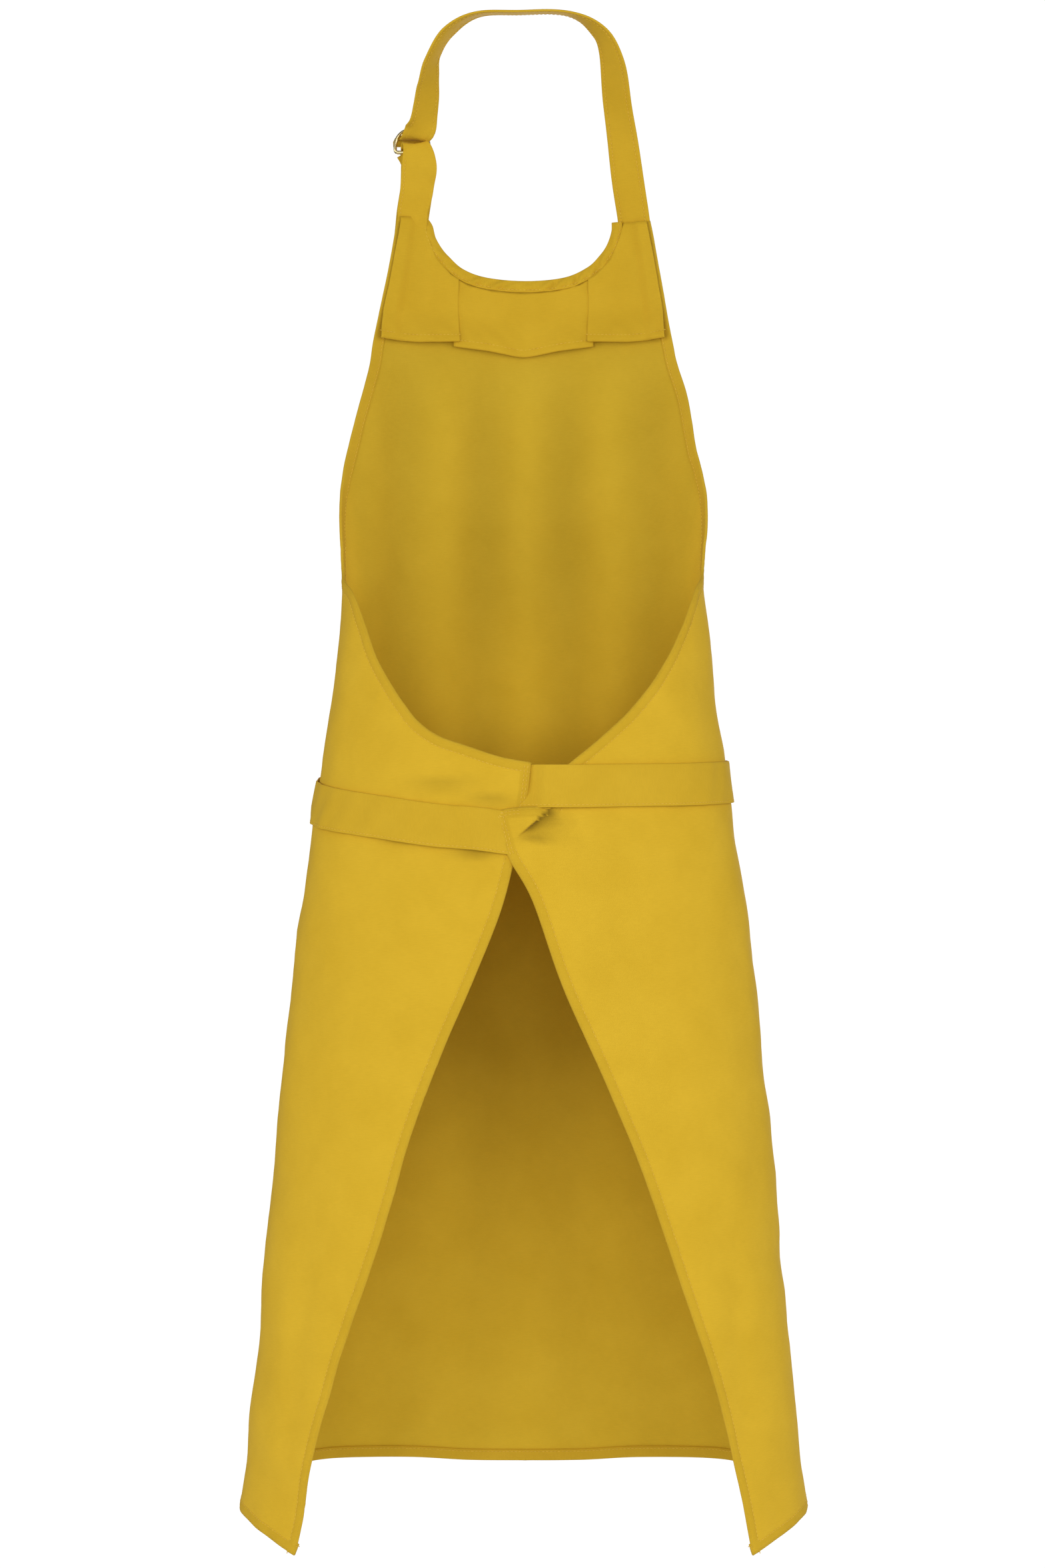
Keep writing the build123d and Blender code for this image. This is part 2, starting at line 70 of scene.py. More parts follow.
BIB_TOP = -138
HALF_WIDTH = [(-130, 168), (-260, 152), (-402, 131), (-480, 136.5), (-571, 149), (-648, 160.5),
              (-725, 169.5), (-840, 181), (-965, 192), (-1125, 209)]
HALF_DEPTH = [(-130, 95), (-260, 98), (-402, 96), (-480, 93), (-571, 92), (-648, 97),
              (-725, 104), (-840, 113), (-965, 122), (-1125, 134)]
HALF_WIDTH = np.array(HALF_WIDTH) * MM
HALF_DEPTH = np.array(HALF_DEPTH) * MM


def along(table, height):
    """The value at each height, on a smooth curve through the table's rows."""
    keys, values = table[:, 0], table[:, 1]
    slopes = np.empty(len(keys))
    slopes[1:-1] = (values[2:] - values[:-2]) / (keys[2:] - keys[:-2])
    slopes[0] = (values[1] - values[0]) / (keys[1] - keys[0])
    slopes[-1] = (values[-1] - values[-2]) / (keys[-1] - keys[-2])
    height = np.asarray(height, float)
    i = np.clip(np.searchsorted(-keys, -height, side="right") - 1, 0, len(keys) - 2)
    span = keys[i + 1] - keys[i]
    s = (height - keys[i]) / span
    rise = s * s * (3 - 2 * s)
    bend = s * (1 - s) * ((1 - s) * slopes[i] - s * slopes[i + 1]) * span
    return values[i] + rise * (values[i + 1] - values[i]) + bend


# %% [markdown]
# ## How the cloth hangs
# Real cloth isn't a perfect ellipse. The bib front falls in soft upright flutes, the whole cloth is a
# little uneven, and short creases run in from the slit's edges where it was folded in its packet. All
# of that is one field, the distance that the cloth stands off the form, so panels, hems and stitches
# move together.

# %% Waves and creases
ROUND = 130 * MM  # mean radius of the form, which turns angles into lengths
# Waves: their length, their height and how many of them
WAVES = [(90 * MM, 0.55 * MM, 14), (34 * MM, 0.16 * MM, 16), (13 * MM, 0.045 * MM, 18)]
random = np.random.default_rng(SEED)
waves = []
for size, height, count in WAVES:
    turn = random.uniform(0, 2 * math.pi, count)
    pitch = 2 * math.pi / (size * random.uniform(0.7, 1.4, count))
    waves.append((height * math.sqrt(2 / count), pitch * np.cos(turn), pitch * np.sin(turn),
                  random.uniform(0, 2 * math.pi, count)))
print("wave sets", len(waves))

# Creases: height in mm, angle, length in mm, degrees from level, depth in mm and width in mm
CREASES = [(-757, -159.5, 26, 8, 0.9, 5), (-776, -157.5, 22, 4, 0.7, 4), (-1068, -131, 26, -5, 0.5, 4),
           (-752, 163.5, 34, -14, 0.9, 6), (-800, 139, 26, 38, 0.5, 4), (-868, 141, 22, 30, 0.5, 4),
           (-600, -168, 60, -28, 0.5, 12), (-640, -150, 70, -35, 0.45, 14), (-690, -158, 60, -22, 0.4, 12),
           (-612, 165, 50, -30, 0.6, 10), (-505, -128, 50, 52, 0.5, 9), (-500, 128, 46, -50, 0.5, 9)]



def smooth(x, low, high):
    """A soft step from 0 at low to 1 at high."""
    t = np.clip((x - low) / (high - low), 0, 1)
    return t * t * (3 - 2 * t)


# %% Flutes and folds
FLUTE = 62 * MM  # from one flute of the bib front to the next
FLUTE_DEPTH = 2.6 * MM
FRONT_PRESS = 0.45 * MM  # depth of the crease pressed down the front's middle
WING_HOLLOWS = ((-124, 1.8 * MM), (127, 2.2 * MM))  # angle and depth, near the wings' foot


def flute(height, angle):
    """The bib front's upright flutes, from -1 where the cloth comes inwards to 1 where it goes out."""
    x = along(HALF_WIDTH, height) * np.sin(np.radians(angle))
    front = 1 - smooth(np.abs(angle), 40, 68)
    reach = smooth(-height, 0.22, 0.30) * (1 - 0.75 * smooth(-height, 0.50, 0.68))
    return -front * reach * np.cos(2 * math.pi * (x - 1.5 * MM) / FLUTE)


def folds(height, angle):
    """How far the cloth stands off the plain form, in metres."""
    x = along(HALF_WIDTH, height) * np.sin(np.radians(angle))
    q = np.radians(angle) * ROUND
    off = np.zeros_like(x)
    for size, kx, kz, phase in waves:
        for a, b, c in zip(kx, kz, phase):
            off += size * np.sin(a * q + b * height + c)
    off += FLUTE_DEPTH * flute(height, angle)
    middle = np.exp(-((x - 1 * MM) / (1.6 * MM)) ** 2) * (1 - smooth(np.abs(angle), 3, 6))
    off -= FRONT_PRESS * middle * smooth(-height, 0.40, 0.46)
    low = smooth(-height, 0.84, 0.93) * (1 - smooth(-height, 1.0, 1.07))
    for centre, depth in WING_HOLLOWS:
        off -= depth * low * np.exp(-((angle - centre) / 5) ** 2)
    for h0, a0, length, turn, depth, width in CREASES:
        u = (angle - a0) * math.copysign(1, a0) * math.radians(1) * ROUND
        v = height - h0 * MM
        c, s = math.cos(math.radians(turn)), math.sin(math.radians(turn))
        run, side = u * c + v * s, v * c - u * s
        shape = np.exp(-(side / (width * MM / 2)) ** 2) * np.exp(-(run / (length * MM / 2)) ** 4)
        off -= depth * MM * shape * np.sign(side + 1e-9) * np.abs(side) / (width * MM / 2) * 1.6
    return off


print("creases", len(CREASES))

# %% [markdown]
# ## The pleat at the centre back
# The right wing's end lies over the left one's, and its tie pulls it into a pleat. The pleat is a
# soft ridge along a short line. Beside it the cloth turns under deeper than a mesh this fine can
# show, so the wing gets a painted shadow there, and smaller painted shadows along the ties' edges. A
# value at each point says where the material paints that shadow.

# %% Pleat
WING_RISE = 2.6 * MM
PLEAT = [(-575.5, 172.4), (-594, 180.3)]  # where its fold starts and ends
PLEAT_RISE = 5.6 * MM
WAIST_TURN = math.radians(1) * 149 * MM  # length of one degree round the waist
# Painted shadow spots beside it and along the ties' edges: height in mm, angle, half height in mm, half
# width in degrees and strength
SHADOW_SPOTS = [(-597, -147, 4.5, 7.5, 0.55), (-605, -168, 5, 6, 0.75), (-560, -157, 4.5, 9, 0.28),
        (-571, -171, 4, 5, 0.35), (-597.5, 177, 2.5, 4, 0.4)]


def wing_lift(angle):
    """The right wing's end lies over the left wing's."""
    return WING_RISE * smooth(np.asarray(angle, float), 150, 170)


def lifted(angle):
    """Only the right wing rises near the centre back; the left one lies on the form."""
    return np.where(angle > 0, wing_lift(angle), 0)


def pleat_places(height, angle):
    """Distances along and across the pleat's fold, in metres, with the raised side positive."""
    (h0, a0), (h1, a1) = PLEAT
    run = np.array([(a1 - a0) * WAIST_TURN, (h1 - h0) * MM])
    length = np.linalg.norm(run)
    run /= length
    u, v = (angle - a0) * WAIST_TURN, height - h0 * MM
    return u * run[0] + v * run[1], u * -run[1] + v * run[0], length


def pleat(height, angle):
    """The pleat's rise: full at the wing's armhole edge, fading down towards its end."""
    run, side, length = pleat_places(height, angle)
    crest = smooth(side, -0.9 * MM, 0.7 * MM) * (1 - smooth(side, 5 * MM, 24 * MM))
    fade = smooth(run, -0.02 * length, 0.45 * length) * (1 - smooth(run, 0.6 * length, 1.25 * length))
    return PLEAT_RISE * crest * fade * smooth(angle, 120, 150)


def shaded(height, angle):
    """Painted shadow on the wings, from 0 to 1: a wedge beside the pleat's fold and spots along the ties'
    edges.
    """
    run, side, length = pleat_places(height, angle)
    wedge = smooth(run, -0.05 * length, 0.12 * length) * (1 - smooth(run, 0.7 * length, 1.2 * length))
    spread = 3 * MM + 0.28 * np.clip(length - run, 0, length)
    under = wedge * smooth(-side, -1.2 * MM, 0.4 * MM) * np.exp(-np.clip(-side, 0, None) / spread)
    shadow_spots = sum(size * np.exp(-((height - z * MM) / (tall * MM)) ** 2 - ((angle - where) / wide) ** 2)
               for z, where, tall, wide, size in SHADOW_SPOTS)
    return np.clip(under * smooth(angle, 120, 150) + shadow_spots, 0, 1)


print("pleat from", PLEAT[0], "to", PLEAT[1])

# %% [markdown]
# ## Places on the form
# The helpers below turn heights and angles into points, and lines of them into even steps. A line
# can be moved sideways over the form by a width, which is how a hem finds its stitches.

# %% Places and lines
def skin(height, angle, out=0.0, folded=True):
    """Points a distance outside the worn form, with its folds."""
    height, angle = np.broadcast_arrays(np.asarray(height, float), np.asarray(angle, float))
    width, depth = along(HALF_WIDTH, height), along(HALF_DEPTH, height)
    turn = np.radians(angle)
    normal = np.stack([np.sin(turn) / width, np.cos(turn) / depth, np.zeros_like(turn)], -1)
    normal /= np.linalg.norm(normal, axis=-1, keepdims=True)
    base = np.stack([width * np.sin(turn), depth * np.cos(turn), height], -1)
    off = out + (folds(height, angle) + pleat(height, angle) if folded else 0)
    return base + normal * np.broadcast_to(off, turn.shape)[..., None]


def on_form(point, near):
    """The height and angle of points, with angles that run on from those in near."""
    height = point[..., 2]
    across = point[..., 0] / along(HALF_WIDTH, height)
    angle = np.degrees(np.arctan2(across, point[..., 1] / along(HALF_DEPTH, height)))
    return height, near + (angle - near + 180) % 360 - 180


def inset(line, distance, side):
    """Moves a line of heights and angles sideways over the form."""
    height, angle = line
    place = skin(height, angle, 0, False)
    run = np.gradient(place, axis=0)
    run /= np.linalg.norm(run, axis=-1, keepdims=True)
    normal = skin(height, angle, MM, False) - place
    across = np.cross(normal, run)
    across /= np.linalg.norm(across, axis=-1, keepdims=True)
    return on_form(place + across * distance * side, angle)


def smooth_line(points, parts=24):
    """A smooth curve through points of any dimension, in `parts` steps from one to the next."""
    points = np.asarray(points, float)
    fine = np.linspace(0, len(points) - 1, (len(points) - 1) * parts + 1)
    i = np.clip(fine.astype(int), 0, len(points) - 2)
    s = (fine - i)[:, None]
    slope = np.gradient(points, axis=0)
    rise = s * s * (3 - 2 * s)
    bend = s * (1 - s) * ((1 - s) * slope[i] - s * slope[i + 1])
    return points[i] + rise * (points[i + 1] - points[i]) + bend


def edge(rows, step=EDGE_STEP):
    """A smooth line of heights in mm and angles, in even steps over the form."""
    rows = np.array(rows, float)
    rows[:, 0] *= MM
    curve = smooth_line(rows)
    place = skin(curve[:, 0], curve[:, 1], 0, False)
    length = np.concatenate([[0], np.cumsum(np.linalg.norm(np.diff(place, axis=0), axis=1))])
    at = np.linspace(0, length[-1], max(int(length[-1] / step) + 1, 2))
    return np.interp(at, length, curve[:, 0]), np.interp(at, length, curve[:, 1])


def joined(*lines):
    """Several lines of heights and angles as one."""
    return tuple(np.concatenate([line[k] for line in lines]) for k in (0, 1))


def mirrored(line):
    """A line on the other side of the form's middle plane."""
    return line[0], -line[1]


def reverse(line):
    """A line from its end to its start."""
    return line[0][::-1], line[1][::-1]


def trimmed(line, first=0, last=0):
    """A line without some steps at its start and its end."""
    end = len(line[0]) - last
    return line[0][first:end], line[1][first:end]


back_middle = skin([-0.6], [180])[0]
print("centre back at 0.6 m down", [round(float(value), 4) for value in back_middle])

# %% [markdown]
# ## The edges of the cloth
# The apron's body is cut in one piece, so its outline is one closed line of heights and angles. It
# starts at the bib's left corner and goes along the neckline, down the right side and armhole, round
# the right wing's end, down the slit and back along the bottom. Each edge is kept by name too,
# because its hem and its stitches follow it. The points are heights in mm and angles, apart from the
# neckline's, which are distances from the middle and heights in mm.

# %% Edge points
NECKLINE = [(-74, -134), (-71, -137.4), (-68.9, -141), (-67.8, -146), (-66.4, -150.4), (-62, -157.5),
            (-56.6, -163.4), (-45.6, -172.4), (-27.9, -178.4), (1.4, -180.8), (30.8, -178.4),
            (48.5, -171), (57.5, -162.6), (63.2, -154.6), (66.7, -145), (67, -138)]
BIB_SIDE = [(-138, 34.5), (-188, 40), (-230, 45.5), (-255, 49.7), (-310, 63), (-358, 78.5), (-402, 90)]
LEFT_ARMHOLE = [(-423, 110), (-445, 120), (-468, 128.5), (-488, 136.5), (-503, 142.7), (-515, 147.8),
                (-526, 155), (-533, 163.5), (-541, 173.5), (-545, 182)]
LEFT_END = [(-545, 182), (-562, 181.3), (-577, 180.5), (-600, 178.6), (-612, 177.6)]
RIGHT_ARMHOLE = [(-421, 109), (-445, 120.5), (-469, 130), (-491, 139.5), (-511, 149), (-528, 158),
                 (-540, 164.4), (-547, 168)]
RIGHT_END = [(-547, 168), (-562, 170.5), (-575.5, 172.2)]
RIGHT_FLAP = [(-575.5, 172.2), (-575.8, 177), (-576.3, 181), (-577.2, 184.4), (-579.4, 187.2)]
LEFT_SLIT = [(-612, 177.6), (-650, 174), (-694, 168), (-744, 161), (-800, 154), (-847, 150), (-902, 144.5),
             (-964, 137.5), (-1034, 132), (-1101, 128.8)]
RIGHT_SLIT = [(-579.4, 187.2), (-596, 185.4), (-612, 183.5), (-642, 177.5), (-705, 170), (-780, 159),
              (-854, 149.7), (-922, 142.5), (-966, 137.5), (-1017, 133), (-1101, 128.8)]
WING_FOOT = [(-1101, 128.8), (-1099.9, 127.6), (-1093.9, 120), (-1090.6, 115), (-1085.2, 104), (-1082, 90)]
FRONT_FOOT = [(-1082, 90), (-1073, 68), (-1066.5, 50), (-1071, 25), (-1075.3, 11), (-1075.8, 0)]
LEFT_TOP = -134  # height of the bib's left corner; the right one is at BIB_TOP
print("neckline points", len(NECKLINE))


# %% Edges
def front_angle(x, height):
    """The angle at which the form's front reaches a distance from its middle, both in mm."""
    return np.degrees(np.arcsin(np.asarray(x) * MM / along(HALF_WIDTH, np.asarray(height) * MM)))


neck_edge = edge([(h, front_angle(x, h)) for x, h in NECKLINE])
right_top = edge([(BIB_TOP, neck_edge[1][-1]), (BIB_TOP, BIB_SIDE[0][1])])
left_top = edge([(LEFT_TOP, -34.2), (LEFT_TOP, neck_edge[1][0])])
right_side = edge(BIB_SIDE + RIGHT_ARMHOLE)
left_side = mirrored(edge([(LEFT_TOP, 34.2)] + BIB_SIDE + LEFT_ARMHOLE))
right_end = edge(RIGHT_END)
right_flap = edge(RIGHT_FLAP)
left_end = mirrored(edge(LEFT_END))
right_slit = edge(RIGHT_SLIT)
left_slit = mirrored(edge(LEFT_SLIT))
right_foot = edge(WING_FOOT)
left_foot = mirrored(right_foot)
front_foot = edge(FRONT_FOOT + [(h, -a) for h, a in reversed(FRONT_FOOT[:-1])])
outline = joined(neck_edge, right_top, right_side, right_end, right_flap, right_slit, right_foot,
                 front_foot, reverse(left_foot), reverse(left_slit), reverse(left_end),
                 reverse(left_side), left_top)
print("outline points", len(outline[0]))

# %% [markdown]
# ## Unrolling the form
# To fill the outline with an even mesh, the form is unrolled: a place's height stays, and its angle
# becomes the length of the way round the form from the front centre. In that flat pattern the
# outline is an ordinary polygon. The same lengths become the cloth's UV map, so that the weave runs
# true over the curved cloth.

# %% Unrolling
TURN = np.radians(np.linspace(-192, 192, 769))


def way_round(height):
    """Lengths round the form at one or more heights, for each angle in TURN."""
    width, depth = along(HALF_WIDTH, height), along(HALF_DEPTH, height)
    width, depth = np.atleast_1d(width)[:, None], np.atleast_1d(depth)[:, None]
    speed = np.hypot(width * np.cos(TURN), depth * np.sin(TURN))
    middle = (speed[:, 1:] + speed[:, :-1]) / 2 * np.diff(TURN)
    length = np.concatenate([np.zeros((len(speed), 1)), np.cumsum(middle, 1)], 1)
    return length - length[:, [len(TURN) // 2]]


def unroll(height, angle):
    """Flat pattern coordinates of places on the form."""
    height, angle = np.atleast_1d(height), np.atleast_1d(angle)
    flat = np.empty((len(height), 2))
    batch = 4000  # places at a time, which keeps the tables small
    for start in range(0, len(height), batch):
        part = slice(start, start + batch)
        table = way_round(height[part])
        spot = (np.radians(angle[part]) - TURN[0]) / (TURN[1] - TURN[0])
        i = np.clip(spot.astype(int), 0, len(TURN) - 2)
        rows = np.arange(len(i))
        flat[part, 0] = table[rows, i] + (table[rows, i + 1] - table[rows, i]) * (spot - i)
    flat[:, 1] = height
    return flat


def inside(points, polygon):
    """Which points lie inside a polygon."""
    hit = np.zeros(len(points), bool)
    for (x0, y0), (x1, y1) in zip(polygon, np.roll(polygon, -1, axis=0)):
        if y0 == y1:
            continue
        cut = (points[:, 1] >= min(y0, y1)) & (points[:, 1] < max(y0, y1))
        cross = x0 + (points[:, 1] - y0) * (x1 - x0) / (y1 - y0)
        hit ^= cut & (points[:, 0] < cross)
    return hit


SAME = 0.4 * MM  # points that are nearer to each other than this are one
keep = np.ones(len(outline[0]), bool)
pattern = unroll(*outline)
for i in range(1, len(pattern)):
    keep[i] = np.hypot(*(pattern[i] - pattern[i - 1])) > SAME
keep[-1] = np.hypot(*(pattern[-1] - pattern[0])) > SAME
outline = (outline[0][keep], outline[1][keep])
pattern = pattern[keep]
width_of_pattern = np.ptp(pattern[:, 0])
following = np.roll(pattern, -1, axis=0)
area_of_pattern = abs(np.sum(pattern[:, 0] * following[:, 1] - following[:, 0] * pattern[:, 1])) / 2
print("pattern", round(width_of_pattern, 3), "m wide,", round(area_of_pattern, 3), "m2")

# %% [markdown]
# ## How far a place is from the hem
# A hem is thicker than the cloth beside it, its stitches pull a groove, and its feed puckers it.
# Those three depend only on the distance to the nearest edge, so a search tree of edge points gives
# that distance. The two wings overlap at the centre back, so each side has a tree of its own.

# %% Distance to the edge
def tree_of(chosen):
    """A search tree of the chosen outline points."""
    places = skin(outline[0][chosen], outline[1][chosen], 0, False)
    tree = KDTree(len(places))
    for i, place in enumerate(places):
        tree.insert(place, i)
    tree.balance()
    return tree


PAST_MIDDLE = 125  # each side's tree leaves out the other wing's edges beyond this angle
edge_trees = {1: tree_of(outline[1] > -PAST_MIDDLE), -1: tree_of(outline[1] < PAST_MIDDLE)}


def edge_distance(height, angle):
    """How far places on the form are from the nearest edge of the cloth, in metres."""
    places = skin(height, angle, 0, False)
    sides = np.where(angle < 0, -1, 1)
    return np.array([edge_trees[s].find(p)[2] for p, s in zip(places.tolist(), sides.tolist())])


PITCH = (500, 830)  # radians to the metre
random = np.random.default_rng(SEED + 1)
pucker_waves = [(random.uniform(0.5, 1), random.uniform(*PITCH),
                 random.uniform(*PITCH) * random.choice([-1, 1]),
                 random.uniform(0, 2 * math.pi)) for _ in range(7)]


def pucker(height, angle, distance):
    """The hem's rise, its groove along the stitches and the puckers that its stitches pull."""
    q = np.radians(angle) * ROUND
    wave = sum(a * np.sin(b * q + c * height + e) for a, b, c, e in pucker_waves) / 3.2
    near = 1 - smooth(distance, 4 * MM, 10 * MM)
    rise = 0.35 * MM * (1 - smooth(distance, 5.6 * MM, 8.4 * MM))
    groove = 0.42 * MM * np.exp(-((distance - STITCH_IN) / (0.8 * MM)) ** 2)
    start = smooth(distance, -0.5 * MM, 2.5 * MM)
    return start * (rise - groove + 0.32 * MM * wave * near)


print("edge trees ready")

# %% [markdown]
# ## Meshes
# Every cloth piece is a plain mesh with its place in its points, so its object stays at the origin.
# Its UV map is in metres of flat cloth, which keeps the weave the same size on all of them.

# %% Mesh helpers
def make_mesh(name, points, faces, flat=None):
    """A smooth mesh piece; flat gives each point its place on the flat cloth, as its UV map."""
    mesh = bpy.data.meshes.new(name)
    mesh.from_pydata(np.asarray(points, float).tolist(), [], faces)
    mesh.update()
    if flat is not None:
        uv = mesh.uv_layers.new(name="UVMap")
        corner = np.empty(len(mesh.loops), int)
        mesh.loops.foreach_get("vertex_index", corner)
        uv.data.foreach_set("uv", np.asarray(flat, np.float32)[corner].ravel())
    mesh.shade_smooth()
    piece = bpy.data.objects.new(name, mesh)
    bpy.context.scene.collection.objects.link(piece)
    return piece


def finished(piece):
    """The piece with its modifiers applied."""
    graph = bpy.context.evaluated_depsgraph_get()
    mesh = bpy.data.meshes.new_from_object(piece.evaluated_get(graph), depsgraph=graph)
    piece.modifiers.clear()
    piece.data = mesh
    return piece


def outwards(piece):
    """Turns a piece's faces outwards."""
    work = bmesh.new()
    work.from_mesh(piece.data)
    bmesh.ops.recalc_face_normals(work, faces=work.faces)
    work.to_mesh(piece.data)
    work.free()
    return piece


def point_value(piece, name, values):
    """Stores a number at each point, for the materials to read."""
    attribute = piece.data.attributes.new(name, "FLOAT", "POINT")
    attribute.data.foreach_set("value", np.asarray(values, np.float32))


print("mesh helpers ready")

# %% [markdown]
# ## The apron's body
# Front panel and wings are one piece of cloth, so they are one mesh here. Rows of points follow the
# outline closely, for the hems, and an even staggered grid fills the rest. Closer rows lie along the
# pleat. A Delaunay triangulation then joins all the points inside the outline.

# %% Points of the body cloth
INSET_ROWS = [2.2, 4.2, 5.6, 6.4, 7.2, 8.4, 11.5, 16]  # distances from the edge, in mm
GRID_START = INSET_ROWS[-1] + 3.5
PLEAT_ROWS = [-6, -3.4, -1.8, -0.9, -0.45, 0, 0.35, 0.7, 1.6, 3.2, 6, 9]  # across its fold, in mm
PLEAT_START = 9.5 * MM  # from the edge to the pleat's own rows

rows = [outline]
for distance in INSET_ROWS:
    row = inset(outline, distance * MM, 1)
    flat = unroll(*row)
    good = inside(flat, pattern) & (edge_distance(*row) > 0.96 * distance * MM)
    rows.append((row[0][good], row[1][good]))
grid_heights, grid_angles = [], []
top, bottom = pattern[:, 1].max(), pattern[:, 1].min()
for k, height in enumerate(np.arange(top, bottom, -GRID_STEP * 0.87)):
    lengths = way_round(height)[0]
    spots = np.arange(lengths[0] + (k % 2) * GRID_STEP / 2, lengths[-1], GRID_STEP)
    grid_heights.append(np.full(len(spots), height))
    grid_angles.append(np.degrees(np.interp(spots, lengths, TURN)))
grid = (np.concatenate(grid_heights), np.concatenate(grid_angles))
good = inside(unroll(*grid), pattern)
grid = (grid[0][good], grid[1][good])
good = edge_distance(*grid) > GRID_START * MM
rows.append((grid[0][good], grid[1][good]))
around = np.linspace(-8, 36, 30) * MM
(h0, a0), (h1, a1) = np.array(PLEAT) * (MM, 1)
run = np.array([(a1 - a0) * WAIST_TURN, h1 - h0])
run /= np.linalg.norm(run)
for across in PLEAT_ROWS:
    line = (h0 + around * run[1] + across * MM * run[0],
            a0 + (around * run[0] - across * MM * run[1]) / WAIST_TURN)
    good = inside(unroll(*line), pattern) & (edge_distance(*line) > PLEAT_START)
    rows.append((line[0][good], line[1][good]))
heights, angles = joined(*rows)
print("points", len(heights))


# %% Triangles
def roll(flat):
    """Heights and angles of flat pattern coordinates."""
    angle = [np.interp(x, way_round(h)[0], TURN) for x, h in flat]
    return flat[:, 1], np.degrees(angle)


flat = unroll(heights, angles)
count = len(outline[0])
border = [(i, (i + 1) % count) for i in range(count)]
found = delaunay_2d_cdt([Vector(p) for p in flat.tolist()], border, [list(range(count))], 1, 1e-6)
flat = np.array([tuple(p) for p in found[0]])
faces = [tuple(face) for face in found[2]]
height, angle = roll(flat)
print("cloth faces", len(faces), "points on its outline", count)

# %% [markdown]
# ## Hanging the cloth
# The form gives each point of the flat cloth its place. Solidify then gives it its thickness, with
# the wrong side in a material of its own. Three values at each point tell the materials where the
# cloth is double and is painted a deeper tone, where the front's wrong side gets painted shade, in
# bands along its flutes, in the upper bib and below the waist, and where the wings get a painted
# shadow beside the pleat and along the ties.

# %% Body cloth
distance = edge_distance(height, angle)
places = skin(height, angle, CLOTH + lifted(angle) + pucker(height, angle, distance))
middle = places[np.array(faces[0])]
way = np.cross(middle[1] - middle[0], middle[2] - middle[0])
first = faces[0][0]
if np.dot(way, skin(height[first], angle[first], 1) - skin(height[first], angle[first], 0)) < 0:
    faces = [face[::-1] for face in faces]
apron_cloth = make_mesh("apron_cloth", places, faces, flat)
# Where a hem lies on the cloth it is double, and the materials paint it a deeper tone there as shade.
point_value(apron_cloth, "layers", 1 - smooth(distance, 5.8 * MM, 7.4 * MM))
# Painted shade for the front's wrong side: deeper in bands along the flutes, in the upper bib and below
# the waist, fading down the slit.
front = smooth(-np.abs(angle), -75, -60)
under_bib = 1 - smooth(-height, 0.40, 0.50)
under_waist = smooth(-height, 0.57, 0.61) * (1 - smooth(-height, 0.68, 0.90))
inside_shade = 0.45 * under_bib + 0.95 * under_waist + 0.275 * (1 + flute(height, angle))
point_value(apron_cloth, "hollow", front * inside_shade)
# Painted shadow on the wings, beside the pleat and along the ties.
wing_shadow_mask = shaded(height, angle)
point_value(apron_cloth, "shaded", wing_shadow_mask)
print("hollows up to", round(float(inside_shade.max()), 2), "shaded", round(float(wing_shadow_mask.max()), 2))
shell = apron_cloth.modifiers.new("cloth thickness", "SOLIDIFY")
shell.thickness = CLOTH
shell.offset = -1
shell.material_offset = 1
print("apron cloth hung")

# %% [markdown]
# ## Strips that lie on the form
# Turned hems, ties and bands are all narrow strips. Each is a closed section, given as points of
# (distance across, distance out), carried along a line of heights and angles. Every section point is
# laid on the form by itself, so a wide strip wraps the form instead of cutting through it.

# %% Strips
def sweep(name, rows, across=None):
    """A closed tube through rows of section points, with capped ends and a UV map in metres."""
    rows = np.asarray(rows, float)
    count, size = rows.shape[:2]
    step = np.linalg.norm(np.diff(rows.mean(1), axis=0), axis=1)
    run = np.concatenate([[0], np.cumsum(step)])
    ring = rows[count // 2]
    loop = np.linalg.norm(np.diff(np.concatenate([ring, ring[:1]]), axis=0), axis=1)
    turn = np.concatenate([[0], np.cumsum(loop)])[:-1] if across is None else np.asarray(across)
    faces = []
    for i in range(count - 1):
        for j in range(size):
            k = (j + 1) % size
            faces.append((i * size + j, i * size + k, (i + 1) * size + k, (i + 1) * size + j))
    faces.append(tuple(range(size))[::-1])
    faces.append(tuple((count - 1) * size + j for j in range(size)))
    flat = np.stack(np.broadcast_arrays(turn[None, :], run[:, None]), -1).reshape(-1, 2)
    return outwards(make_mesh(name, rows.reshape(-1, 3), faces, flat))


def lay(name, line, section, side, lift=lambda height, angle, across: 0.0):
    """A strip on the form: section points are (distance across, distance out) in metres."""
    rows = []
    for across, out in section:
        height, angle = inset(line, across, side)
        rows.append(skin(height, angle, out + lift(height, angle, across)))
    return sweep(name, np.stack(rows, 1), [across for across, _ in section])


def in_metres(section):
    """Section points that are given in mm, in metres."""
    return [(across * MM, out * MM) for across, out in section]


print("strip helpers ready")

# %% [markdown]
# ## Turned hems
# A hem is the cloth folded over and stitched down. Its nose is round and covers the raw rim, and its
# inner leaf lies against the wrong side. The section below starts inside the cloth, goes round the
# nose and back along the inner leaf, which swells a little between the fold and the stitches.

# %% Hems
NOSE = [(0.5 + 1.05 * math.cos(t), -0.12 + 1.1 * math.sin(t)) for t in np.radians(range(90, 270, 25))]
HEM_LEAF = [(2.2, -1.5), (4.2, -1.5), (5.6, -1.3), (6.4, -1.0), (7.2, -1.2),
            (HEM - 0.3, -1.15), (HEM, -0.85), (HEM - 0.2, -0.4), (HEM - 0.4, 0.2)]
hem_section = in_metres([(2.2, 0.3), (1.4, 0.82)] + NOSE + HEM_LEAF)


def hem_lift(height, angle, across):
    """A hem rises and puckers with the cloth that it covers."""
    return lifted(angle) + pucker(height, angle, np.full(len(height), max(across, 0.0)))


